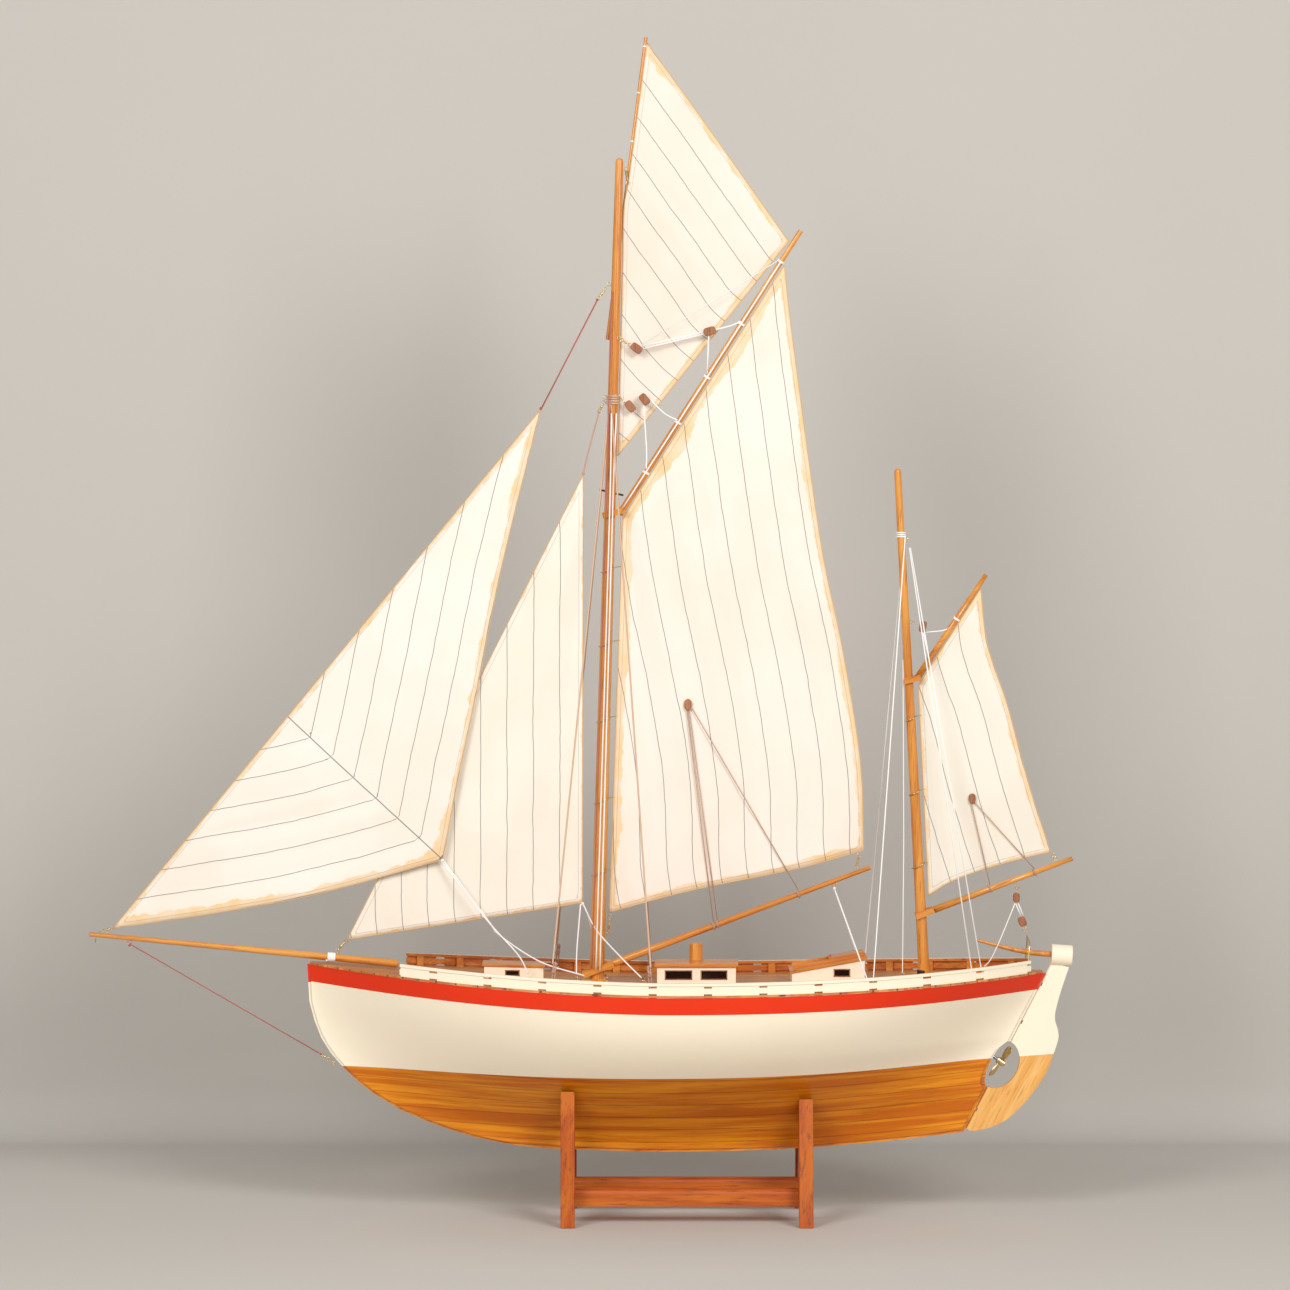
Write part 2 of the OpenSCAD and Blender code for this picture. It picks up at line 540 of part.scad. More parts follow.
// ---------------------------------------------------------------- rudder
stock_r = 3.5;
axis_off = stock_r + 0.4;           // hinge axis aft of the sternpost's face
gudgeon_z = [108, 196, 234];
function hinge_x(z) = post_x(z) + axis_off / cos(post_lean);
module on_hinge(z) { translate([hinge_x(z), 0, z]) rotate([0, post_lean, 0]) children(); }
module gudgeons() {
    color(brass) for (z = gudgeon_z) on_hinge(z) difference() {
        union() {
            cylinder(h = 2.4, r = 2.9, center = true);
            translate([-axis_off - 7.6, -1.3, -1.2]) cube([axis_off + 7.6, 2.6, 2.4]);
        }
        cylinder(h = 6, r = 1.25, center = true);
    }
}
module pintles() {
    color(brass) for (z = gudgeon_z) on_hinge(z) cylinder(h = 10, r = 1.2, center = true);
}
module rudder_blade() {
    color(cream) difference() {
        union() {
            panel(concat([[hinge_x(88.4), 88.4], [hinge_x(256), 256]],
                rounded([[489, 252], [485.5, 242], [480, 225], [475.6, 208], [475.2, 199], [478, 189], [478.4, 180],
                    [473, 163], [467, 147], [457.5, 132], [443, 114], [426.5, 99], [409.5, 91], [395, 87.8]])),
                2 * stock_r);
            bar([hinge_x(89), 0, 89], [hinge_x(254), 0, 254], 2 * stock_r);
        }
        aperture(aperture_aft);
        aperture(-aperture_fwd);
        for (z = gudgeon_z) on_hinge(z) {
            translate([-6, -3.1, -1.9]) cube([9.4, 6.2, 3.8]);
            cylinder(h = 10.02, r = 1.2, center = true);
        }
    }
}
module rudder_head() {
    color(cream) bar([471.3, 0, 264.6], [492.2, 0, 263.2], 21);
}
module tiller() {
    p = [[397.5, 0, 279], [418, 0, 273.5], [435, 0, 269.2], [452, 0, 266.4], [470.8, 0, 265]];
    r = [1.4, 1.9, 2.3, 2.7, 3];
    color(spar_wood) skin([for (i = [0:4]) let (h = unit(p[min(i + 1, 4)] - p[max(i - 1, 0)]), n = [-h.z, 0, h.x])
        [for (k = [0:11]) p[i] + r[i] * (-cos(30 * k) * n + sin(30 * k) * [0, 1, 0])]]);
}

// ---------------------------------------------------------------- drive and gear below deck
module stern_tube() {
    color(brass) difference() {
        bar(shaft_at(10.5), shaft_at(60), 6);
        bar(shaft_at(8), shaft_at(62), 3.1);
    }
}
module shaft() {
    color(grey) bar(shaft_at(-4), shaft_at(84), 3);
    color(grey) difference() { bar(shaft_at(63), shaft_at(72), 8); bar(shaft_at(62), shaft_at(73), 3); }
}
module propeller() {
    color(brass) difference() {
        union() {
            bar(shaft_at(-3), shaft_at(5), 7);
            for (k = [0, 180]) translate(prop_hub - shaft_dir) rotate([0, 90 + shaft_slope, 0])
                rotate([0, 0, 12 + k]) rotate([28, 0, 0]) translate([0, 0, -0.6]) linear_extrude(1.2)
                    polygon([[2, -1.6], [7, -4.2], [12, -5.4], [16, -4.6], [prop_d / 2, -2], [prop_d / 2, 2],
                             [16, 4.6], [12, 5.4], [7, 4.2], [2, 1.6]]);
        }
        bar(shaft_at(-8), shaft_at(10), 3);
    }
}
module motor() {
    color(grey) difference() {
        bar(shaft_at(74), shaft_at(104), 23);
        bar(shaft_at(73), shaft_at(84.5), 3.1);
    }
}
// Post standing on the keel, aft of the last frame, with a block cut to the motor's round
module motor_bed() {
    color(wood) {
        panel([[352, 124.4], [362, 131.8], [364, 161], [348, 161]], 2 * keel_half);
        difference() {
            panel([[346, 160], [364.4, 160], [366, 186], [366, 199], [340, 214], [336, 190]], 16);
            bar(shaft_at(60), shaft_at(120), 23);
        }
    }
}
module equipment_shelf() {
    color(wood) translate([10, -34, shelf_z]) cube([200, 68, 3]);
}
module radio_gear() {
    color(dark) {
        translate([60, -18, shelf_z + 3]) cube([72, 36, 24]);
        translate([20, -13, shelf_z + 3]) cube([30, 26, 11]);
        translate([145, -14, shelf_z + 3]) cube([42, 28, 15]);
    }
}

// ---------------------------------------------------------------- main sails
// Pair of jaws with their inner faces rounded to turn about a mast: middle, lean of the spar,
// axis of the mast there, radius of the rounding, reach forward and back
module jaws(c, lean, mast, r, reach, back) {
    difference() {
        translate(c) rotate([0, -lean, 0]) both_sides() translate([-reach, r - 1, -3])
            cube([reach + back, 3.3, 6]);
        bar(mast[0], mast[1], 2 * r);
    }
}
main_axis = [[main_x(200), 0, 200], [main_x(800), 0, 800]];
mizzen_axis = [[mizzen_x(200), 0, 200], [mizzen_x(800), 0, 800]];
module main_boom() {
    lean = atan2(boom_b.z - boom_a.z, boom_b.x - boom_a.x);
    color(spar_wood) {
        bar(boom_at(27.5), boom_b, 7.4, 4.6);
        jaws(boom_at(17), lean, main_axis, main_r(250) + 0.5, 15.5, 17);
        bar(boom_at(27.5) + [0.6, -9, 0.2], boom_at(27.5) + [0.6, 9, 0.2], 3);
    }
    color(brass) {
        ring(boom_at(253.8) - [0, 0, 4.6], 1.9, 0.8);
        snap(boom_at(276) + [0, 0, 4.4], [279, 0, 366]);
    }
}
module main_gaff() {
    lean = atan2(gaff_b.z - gaff_a.z, gaff_b.x - gaff_a.x);
    color(spar_wood) {
        bar(gaff_a, gaff_b, 7, 5);
        jaws([main_x(706) + 1, 0, 706], 14, main_axis, main_r(706) + 0.5, 8.5, 15);
        bar([gaff_a.x + 0.6, -7.6, 706.6], [gaff_a.x + 0.6, 7.6, 706.6], 3);
    }
}
module mainsail() {
    color(canvas) panel(concat([[42.5, 702]],
        rounded([[203.5, 954], [213.5, 868.5], [240.4, 677], [262, 571.6], [280, 459], [283.5, 369]]),
        rounded([[283.4, 369], [218.5, 351], [112, 329], [28.8, 307]])), cloth_t);
}
topsail_y = 3.2;
module topsail() {
    luff = [for (z = [764, 826, 950, 1008]) [main_x(z) + main_r(z) + 1.2, z]];
    color(canvas) panel(concat(luff, [[48.4, 1040], [66.5, 1176], [208, 978]]), cloth_t, topsail_y);
}
module topsail_yard() {
    color(spar_wood) bar([27, 8.2, 880], [65.5, 4.8, 1181.4], 4, 3.6);
    color(brass) snap([main_x(1057) + 5.8, 0, 1052], [47.6, 2.2, 1034]);
}
hoop_gap = 2.3;         // from the mast's surface to the middle of the hoop's wire
hoop_z = [347, 419, 500, 576, 650];
mhoop_z = [354, 427, 501];
module main_hoops() {
    color(brass) for (z = hoop_z) let (r = main_r(z) + hoop_gap)
        ring([main_x(z) + 0.7, 0, z], r, 1.1, [-sin(20), 0, cos(20)]);
    color(brass) for (z = hoop_z) let (r = main_r(z) + hoop_gap, luff = 28.8 + (z - 307) * 13.7 / 395)
        bar([main_x(z) + r + 0.6, 0, z + r * 0.35], [luff + 1.5, 0, z + r * 0.35 + 0.6], 1);
}
module main_blocks() {
    y = -6.2;
    color(spar_wood) {
        pulley([56, y, 871], 12, 8, 4.6, 126);
        pulley([49.7, y, 813], 12, 8, 4.6, 142);
        pulley([129, y, 888], 12, 8, 4.6, 75);
        pulley([64, y, 820], 12, 8, 4.6, 142);
        pulley([107.5, -cloth_t / 2 - 1.8, 515], 11, 9, 3.4);
    }
    color(white) {
        cord([[61.4, y, 873], [123.5, y, 887.3]]);
        cord([[61, y, 870], [123.6, y, 885.3]]);
        cord([[134.6, y, 889.4], [150, y + 2, 893.5], gaff_at(160.5) + [0, -1.8, 2.5]]);
        cord([[128, y, 883.6], gaff_at(126.5) + [0, -1.8, 2.6]]);
        cord([[69.6, y, 820], [84, y + 2, 806], gaff_at(97.5) + [0, -1.8, 2.4]]);
        cord([[63, y, 816], [66, y + 2, 770], gaff_at(65.6) + [0, -1.8, 2.2]]);
        cord([gaff_a + [3, -4.4, 6], gaff_at(120) + [0, -4.2, 0], gaff_at(200) + [0, -3.6, 0]]);
    }
    color(brown) {
        cord([[106.3, -1.6, 509.6], boom_at(133) + [0, -1, 4.4]], 1);
        cord([[108.7, -1.6, 509.6], boom_at(137) + [0, -1, 4.4]], 1);
        cord([[111.4, -1.6, 511.6], boom_at(218) + [0, -1, 4.2]], 1);
    }
    color(brass) {
        snap([main_x(881) + main_r(881) + 4, y / 2, 880.5], [51.2, y, 873.2]);
        bar([main_x(824) + main_r(824) + 4, y / 2, 821], [47, y, 814], 1);
        snap([27.6, 0, 283], [29.2, 0, 305]);
    }
}

// ---------------------------------------------------------------- mizzen sails
module mizzen_spars() {
    lean = atan2(mboom_b.z - mboom_a.z, mboom_b.x - mboom_a.x);
    color(spar_wood) {
        bar(mboom_a + [3.4, 0, 1.3], mboom_b, 7, 4.6);
        jaws([mizzen_x(305.5) + 1, 0, 305.5], lean, mizzen_axis, mizzen_r(306) + 0.5, 7, 12);
        bar([352.4, -7.6, 309.2], [352.4, 7.6, 309.2], 3);
        bar(mgaff_a + [2.6, 0, 4], mgaff_b, 7, 4.8);
        jaws([mizzen_x(540) + 1, 0, 540], 12, mizzen_axis, mizzen_r(540) + 0.5, 6, 11);
        bar([339.2, -6.6, 542.4], [339.2, 6.6, 542.4], 3);
        pulley([342.4, 0, 593], 11.5, 7, 4.4, 10);
        pulley([392, -cloth_t / 2 - 1.6, 421], 10, 8, 3);
        pulley([436.5, 0, 321.6], 9, 6.6, 4.4);
    }
    color(brass) {
        ring([437, 0, 332.2], 1.8, 0.8);
        snap(mboom_at(476) + [0, 0, 3.9], [472, 0, 366.5]);
        ring([436.5, 0, 327.6], 1.6, 0.8, [1, 0, 0]);
    }
    color(white) {
        cord([[345, 0, 587.4], [365, -1, 590], [376, -1.6, 598]], 1.2);
        cord([[342.6, -1.8, 587.2], [348, -3.8, 562]], 1.2);
    }
    color(brown) {
        cord([[391, -1.6, 416], mboom_at(410) + [0, -1, 3.9]], 1);
        cord([[394.6, -1.6, 417], mboom_at(454.5) + [0, -1, 3.7]], 1);
    }
}
module mizzen_sail() {
    color(canvas) panel([[338, 534], [400, 631], [407, 576], [427, 515], [448.5, 436], [470.5, 367.5],
        [442.5, 361], [404, 350], [372, 338], [348.5, 324]], cloth_t);
}
module mizzen_hoops() {
    color(brass) for (z = mhoop_z) let (r = mizzen_r(z) + hoop_gap)
        ring([mizzen_x(z) + 0.6, 0, z], r, 1, [-sin(24), 0, cos(24)]);
    color(brass) for (z = mhoop_z) let (r = mizzen_r(z) + hoop_gap, luff = 348.5 - (z - 324) * 10.5 / 210)
        bar([mizzen_x(z) + r + 0.5, 0, z + r * 0.4], [luff + 1.5, 0, z + r * 0.4 + 0.6], 1);
}

// ---------------------------------------------------------------- headsails
module about_line(p, q, angle) { translate(p) rotate(a = angle, v = q - p) translate(-p) children(); }
module jib() {
    about_line(jib_tack, jib_eye, -jib_rest) {
        color(canvas) panel([[-39.6, 810.4], [-468.7, 290.7], [-361.5, 307], [-261.5, 326], [-137.7, 360.2],
            [-121, 448], [-106, 518], [-76.6, 662]], cloth_t);
        color(brass) {
            snap([-478.4, 0, 288.6], [-467.6, 0, 291.4]);
            snap(between(jib_tack, jib_eye, 0.976), between(jib_tack, jib_eye, 0.995));
        }
        color(pink) bar([-39.8, 0, 809.4], between(jib_tack, jib_eye, 0.976), 1.6);
    }
}
module staysail() {
    color(canvas) panel([[2.9, 745.7], [-233.8, 279.6], [1.8, 316.6]], cloth_t);
    color(brass) snap([-245.6, 0, 266], [-233.6, 0, 280.4]);
    color(brown) cord([[2.7, 0, 744.7], [6.5, 0, 762], between(stay_tack, stay_eye, 0.973)], 1.6);
    color(brass) snap(between(stay_tack, stay_eye, 0.973), between(stay_tack, stay_eye, 0.9946));
}

// ---------------------------------------------------------------- lines across the joints
// Falls of the halyards, made fast on the mast's port side
module running_lines() {
    color(white) {
        cord([[main_x(806) + 4, -7.4, 806], [main_x(700) + 3, -11.6, 700], [main_x(250) + 3, -14, 250]]);
        cord([[main_x(806) - 1, -8, 806], [main_x(700), -12, 700], [main_x(252) - 1, -14.6, 252]]);
        bar([mizzen_x(672) + 7.6, -2, 672], [388, -57, deck_z(388, 57) + 8], 1.1);
        bar([mizzen_x(672) + 8.6, -1, 672], [398, -50, deck_z(398, 50) + 8], 1.1);
    }
    color(pink) cord([[main_x(930) - 4, -6.6, 928], [main_x(700) - 3.6, -12.6, 700],
        [main_x(252) - 5, -15.4, 252]], 1.2);
}
// Sheets from the booms and clews to the deck
module sheets() {
    color(white) {
        both_sides() cord([boom_at(253.8) + [0.4, -1.2, -8], on_deck(main_sheet_foot, 6)], 1.2);
        cord([[435.8, -0.6, 315.6], [441, -0.6, 303.2]], 1.1);
        cord([[438.4, 0.6, 315.8], [443.6, 0.6, 303]], 1.1);
        cord([[435, -1, 316], [430.5, -2, 305], [418, -3, 275], [410, -3, 259], [404, -2, 252.6]], 1.1);
        cord([[2.6, 0, 315], [16, -10.5, 290], [42, -20, 262], [61, -29, 244]], 1.2);
        cord([[2.8, 0, 313.6], [8, 16, 300], [16, 24, 262], [18.6, 25, 246]], 1.2);
        cord([[-136.2, -8.8, 358.4], [-93, -14, 301], [-80, -18, 285], [-40, -28, 260], [4, -33, 246.4]], 1.2);
        cord([[-137.8, -9.4, 357.4], [-92, -24, 300], [-62, -36, 268], [-51.5, -39.6, 249]], 1.2);
        cord([[0, -2.2, 315], [-3.6, -12, 270], [-4, -14, 246]], 1.1);
    }
    color(spar_wood) pulley([442.4, 0, 297.6], 9.5, 7.6, 4.4, -20);
    color(brass) ring([445.4, 0, 289.4], 2.2, 1);
}

stand_uprights();
stand_cross_rails();
stand_stretchers();
stand_pads();
backbone();
bottom_planking();
topside_planking();
sheer_band();
hull_frames();
deck();
bulwark_boards();
bulwark_stanchions();
cap_rails();
bowsprit();
bowsprit_fittings();
bobstay();
main_mast();
mizzen_mast();
mast_fittings();
fore_hatch();
fore_hatch_lid();
deckhouse_walls();
deckhouse_roof();
funnel();
aft_cabin_walls();
aft_cabin_roof();
cabin_windows();
companion_hatch();
main_shrouds();
mizzen_shrouds();
shroud_lanyards();
deck_eyes();
deck_cleats();
sheet_horse();
gudgeons();
rudder_blade();
rudder_head();
tiller();
pintles();
stern_tube();
motor();
motor_bed();
equipment_shelf();
radio_gear();
propeller();
shaft();
main_boom();
main_gaff();
mainsail();
topsail();
topsail_yard();
main_hoops();
main_blocks();
mizzen_spars();
mizzen_sail();
mizzen_hoops();
jib();
staysail();
running_lines();
sheets();
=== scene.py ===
"""Gaff-rigged model boat on its cradle: finishes, sails and rigging added to the CAD frame."""
import math
import random

import bpy
from mathutils import Matrix, Vector, noise


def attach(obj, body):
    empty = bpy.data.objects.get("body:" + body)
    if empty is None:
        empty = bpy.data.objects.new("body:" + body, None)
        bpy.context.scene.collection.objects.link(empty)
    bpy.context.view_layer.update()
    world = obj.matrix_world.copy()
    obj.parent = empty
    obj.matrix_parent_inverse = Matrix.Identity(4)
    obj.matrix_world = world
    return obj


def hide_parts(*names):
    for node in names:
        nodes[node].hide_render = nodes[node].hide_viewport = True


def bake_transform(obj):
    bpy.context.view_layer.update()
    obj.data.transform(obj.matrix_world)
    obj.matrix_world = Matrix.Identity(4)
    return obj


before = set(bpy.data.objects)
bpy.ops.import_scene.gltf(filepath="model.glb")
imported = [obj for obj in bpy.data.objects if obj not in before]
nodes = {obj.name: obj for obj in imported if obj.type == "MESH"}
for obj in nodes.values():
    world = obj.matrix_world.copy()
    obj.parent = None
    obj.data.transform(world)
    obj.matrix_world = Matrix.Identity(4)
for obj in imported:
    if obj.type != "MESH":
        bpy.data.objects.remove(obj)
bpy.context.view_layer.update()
MM = 0.001


# ---- Hull lines, as in the CAD (millimetres)
STEM = [(70, -30), (72.5, -55), (76, -80), (81.5, -105), (89, -130), (98, -155), (109, -180), (124, -205),
        (136, -221), (151, -237), (166, -250), (181, -259.5), (199, -266.5), (218, -271.5), (260, -274)]
X_STEM, X_LOW, X_STERN = -274, 90, 466
POST_SLOPE = 83 / 161
HALF_BEAM, SKIN, BAND = 120, 4, 17


def lookup(z, table):
    for (z0, x0), (z1, x1) in zip(table, table[1:]):
        if z <= z1:
            return x0 + (x1 - x0) * max(0, z - z0) / (z1 - z0)
    return table[-1][1]


def post_x(z):
    return 383.5 + (z - 87) * POST_SLOPE


def keel_z(x):
    return 67 + 0.00024 * (x - 95) ** 2


def sheer_z(x):
    if x < X_LOW:
        return 233 + 22.5 * (max(0, X_LOW - x) / (X_LOW - X_STEM)) ** 1.6
    return 233 + 14 * ((x - X_LOW) / (X_STERN - X_LOW)) ** 2


def paint_z(x):
    return 149 + (0.000047 if x < 60 else 0.000095) * (x - 60) ** 2


def cut_depth(z):
    lean = math.atan(POST_SLOPE)
    s = (z - 155) / math.cos(lean) / 25.5
    return 8.3 * math.sqrt(1 - s * s) / math.cos(lean) if abs(s) < 1 else 0


def bow_x(v):
    z0 = keel_z(-52) + 3
    return lookup(z0 + (sheer_z(X_STEM) - z0) * v, STEM) + 3


def stern_x(v):
    z = 90 + (sheer_z(X_STERN) - 90) * v
    return post_x(z) - 3.5 - cut_depth(z)


def hull_x(u, v):
    return bow_x(v) + (stern_x(v) - bow_x(v)) * u


def low(u):
    return keel_z(hull_x(u, 0)) + 3


def top(u):
    return sheer_z(hull_x(u, 1))


def hull_y(u, v):
    wide = 0.505
    w = (wide - u) / wide if u < wide else (u - wide) / (1 - wide)
    section = 1 - (1 - v ** (1.6 - 0.35 * w * w)) ** (2.8 - 1.1 * w * w)
    plan = max(0, 1 - w ** (2.4 if u < wide else 2.8)) ** (1 + 1.2 * (1 - v))
    return 6 + (HALF_BEAM - 6) * section * plan


def v_at(u, z):
    return (z - low(u)) / (top(u) - low(u))


def edge_y(x):
    return hull_y((x - bow_x(1)) / (stern_x(1) - bow_x(1)), 1)


def on_deck(x, y, up=0):
    e = edge_y(x)
    return (x, y, sheer_z(x) + 2 + 1.5 * e / HALF_BEAM * (1 - min(1, abs(y) / e) ** 2) + up)


# ---- Rig lines
def main_x(z):
    return 16.5 + (z - 253) * 22.5 / 804


def main_r(z):
    return 7.5 - (z - 240) * 2.75 / 710 if z < 950 else 4.75 - (z - 950) * 0.75 / 107


def mizzen_x(z):
    return 343.5 - (z - 260) * 26.5 / 488


def mizzen_r(z):
    return 5.75 - (z - 250) * 2.25 / 498


def along(a, b, t):
    return tuple(p + (q - p) * t for p, q in zip(a, b))


def at_x(a, b, x):
    return along(a, b, (x - a[0]) / (b[0] - a[0]))


def moved(p, dx=0, dy=0, dz=0):
    return (p[0] + dx, p[1] + dy, p[2] + dz)


def on(line, x, dx=0, dy=0, dz=0):
    """Point of a line at station x, moved a little."""
    return moved(at_x(*line, x), dx, dy, dz)


BOOM = ((2.5, 0, 244.5), (290, 0, 352))
GAFF = ((38.8, 0, 705), (220, 0, 988.4))
YARD = ((27, 8.2, 880), (65.5, 4.8, 1181.4))
M_BOOM = ((347.5, 0, 307), (492.5, 0, 361))
M_GAFF = ((334.5, 0, 538), (405.5, 0, 645))
SPRIT = ((-183, 0, 255.5), (-492.5, 0, 285))
JIB_LUFF, JIB_TWIST = ((-480, 0, 288), (29, 0, 935)), -2
STAY_LUFF = ((-248.5, 0, 263), (25.5, 0, 822))


# ---- Node material tools
def rgb(r, g, b):
    def channel(c):
        c /= 255
        return c / 12.92 if c <= 0.04045 else ((c + 0.055) / 1.055) ** 2.4
    return (channel(r), channel(g), channel(b), 1)


class Graph:
    """A material's node tree, built by small calls that return output sockets."""

    def __init__(self, name, rough=0.5, **fixed):
        self.material = bpy.data.materials.new(name)
        self.material.use_nodes = True
        self.tree = self.material.node_tree
        self.tree.nodes.clear()
        self.surface = self.node("BsdfPrincipled")
        self.node("OutputMaterial", [self.surface.outputs[0]])
        self.set("Roughness", rough)
        for key, value in fixed.items():
            self.set(key.replace("_", " "), value)

    def node(self, kind, inputs=(), **settings):
        """New node, its inputs filled in from a list, or from a dictionary of their names or places."""
        node = self.tree.nodes.new("ShaderNode" + kind)
        for key, value in settings.items():
            setattr(node, key, value)
        for key, value in inputs.items() if isinstance(inputs, dict) else enumerate(inputs):
            self.put(node, key, value)
        return node

    def put(self, node, socket, value):
        if isinstance(value, bpy.types.NodeSocket):
            self.tree.links.new(value, node.inputs[socket])
        else:
            node.inputs[socket].default_value = value

    def set(self, socket, value):
        self.put(self.surface, socket, value)

    def math(self, kind, a, b=0.0):
        return self.node("Math", (a, b, 0.0), operation=kind).outputs[0]

    def mul(self, a, b):
        return self.math("MULTIPLY", a, b)

    def add(self, a, b):
        return self.math("ADD", a, b)

    def sub(self, a, b):
        return self.math("SUBTRACT", a, b)

    def off(self, a, b):
        """How far a is from b, either way."""
        return self.math("ABSOLUTE", self.sub(a, b))

    def coords(self):
        return self.node("TexCoord").outputs["Object"]

    def geometry(self, kind):
        return self.node("NewGeometry").outputs[kind]

    def uv(self):
        return self.node("UVMap").outputs[0]

    def attribute(self, name):
        return self.node("Attribute", attribute_name=name).outputs["Fac"]

    def split(self, vector):
        return self.node("SeparateXYZ", [vector]).outputs

    def join(self, x, y, z=0.0):
        return self.node("CombineXYZ", (x, y, z)).outputs[0]

    def dot(self, vector, axis):
        return self.node("VectorMath", (vector, axis), operation="DOT_PRODUCT").outputs["Value"]

    def noise(self, vector, scale=1.0, detail=3.0, rough=0.55, bend=0.0):
        return self.node("TexNoise", {"Vector": vector, "Scale": scale, "Detail": detail, "Roughness": rough,
                                      "Distortion": bend}).outputs[0]

    def range(self, value, a, b, lo=0.0, hi=1.0):
        return self.node("MapRange", (value, a, b, lo, hi), interpolation_type="SMOOTHSTEP").outputs[0]

    def mix(self, factor, a, b):
        return self.node("Mix", {0: factor, 6: a, 7: b}, data_type="RGBA").outputs[2]

    def bump(self, height, strength, distance=0.0005):
        bump = self.node("Bump", {"Height": height, "Strength": strength, "Distance": distance})
        self.set("Normal", bump.outputs[0])


def grain(g, vector, axis, across=220.0, stretch=16.0):
    """Coordinates stretched along axis, so noise reads as wood grain."""
    a = Vector(axis).normalized()
    b = a.orthogonal().normalized()
    c = a.cross(b)
    return g.join(g.mul(g.dot(vector, a), across / stretch),
                  g.mul(g.dot(vector, b), across),
                  g.mul(g.dot(vector, c), across))


def wood_colour(g, p, dark, mid, light):
    broad = g.noise(p, 0.35, 3, 0.6, 0.6)
    fine = g.noise(p, 2.4, 4, 0.7, 0.2)
    base = g.mix(g.range(broad, 0.35, 0.68), mid, light)
    return g.mix(g.mul(g.range(fine, 0.5, 0.72), 0.75), base, dark), fine


def wood(name, axis, dark, mid, light, rough=0.36, coat=0.35, **size):
    g = Graph(name, rough, Coat_Weight=coat, Coat_Roughness=0.12)
    colour, fine = wood_colour(g, grain(g, g.coords(), axis, **size), rgb(*dark), rgb(*mid), rgb(*light))
    g.set("Base Color", colour)
    g.set("Roughness", g.range(fine, 0.2, 0.8, rough - 0.07, rough + 0.1))
    g.bump(fine, 0.25, 0.0002)
    return g.material


def blotched(g, base, other, scale, amount=1.0):
    mottle = g.noise(g.coords(), scale, 3, 0.6)
    return g.mix(g.mul(g.range(mottle, 0.4, 0.75), amount), base, other), mottle


def paint(name, base, other, rough=0.38):
    g = Graph(name, rough, Coat_Weight=0.05, Coat_Roughness=0.2, Specular_IOR_Level=0.3)
    g.set("Base Color", blotched(g, rgb(*base), rgb(*other), 9, 0.4)[0])
    g.bump(g.noise(g.coords(), 60, 3), 0.06, 0.0004)
    return g.material


def metal(name, base, other, rough=0.28):
    g = Graph(name, rough, Metallic=1.0)
    colour, mottle = blotched(g, rgb(*base), rgb(*other), 300)
    g.set("Base Color", colour)
    g.set("Roughness", g.range(mottle, 0.3, 0.7, rough - 0.08, rough + 0.12))
    return g.material


def plain(name, base, other, rough, scale=400):
    """Matt surface with a fine mottle: felt, plastic or glass."""
    g = Graph(name, rough)
    colour, mottle = blotched(g, rgb(*base), rgb(*other), scale)
    g.set("Base Color", colour)
    g.bump(mottle, 0.3, 0.0003)
    return g.material


def cord_material(name, base, shade, strands=3.0, lay=0.45, has_uv=True):
    """Laid cord: strands wind round the UV's u while v runs along it in millimetres.
    Without a UV the strands slant across the cord by its position."""
    g = Graph(name, 0.85)
    if has_uv:
        u, v, _ = g.split(g.uv())
        winds = g.add(g.mul(u, strands), g.mul(v, lay))
    else:
        x, _, z = g.split(g.coords())
        winds = g.mul(g.add(z, x), lay * 1000)
    # Painted shade: each groove between the strands is coloured towards the darker shade colour, and it is also
    # a bump.
    groove_and_shade = g.off(g.math("FRACT", winds), 0.5)
    fuzz = g.noise(g.coords(), 900, 2)
    g.set("Base Color", g.mix(g.range(g.add(groove_and_shade, g.mul(fuzz, 0.25)), 0.35, 0.62),
                              rgb(*base), rgb(*shade)))
    g.bump(groove_and_shade, -0.6, 0.0003)
    return g.material


def paint_line(g, x):
    """Height of the boot-top line at station x, in metres."""
    off = g.sub(x, 0.06)
    curve = g.range(off, -0.0001, 0.0001, 0.047, 0.095)
    return g.add(0.149, g.mul(curve, g.mul(off, off)))


CREAM, CREAM_SHADE = (252, 239, 214), (249, 234, 207)
RED, RED_SHADE = (232, 52, 8), (224, 46, 6)
DARK_WOOD, MID_WOOD, GOLD_WOOD = (140, 62, 6), (200, 104, 8), (232, 148, 28)
SPAR_TONES = (160, 84, 22), (208, 128, 44), (232, 160, 70)
# The second colour of each cord is the painted shade in the grooves between its strands.
WHITE_AND_GROOVE_SHADE = (255, 255, 254), (240, 238, 234)
HULL_PLANK, DECK_PLANK = 0.016, 0.0075


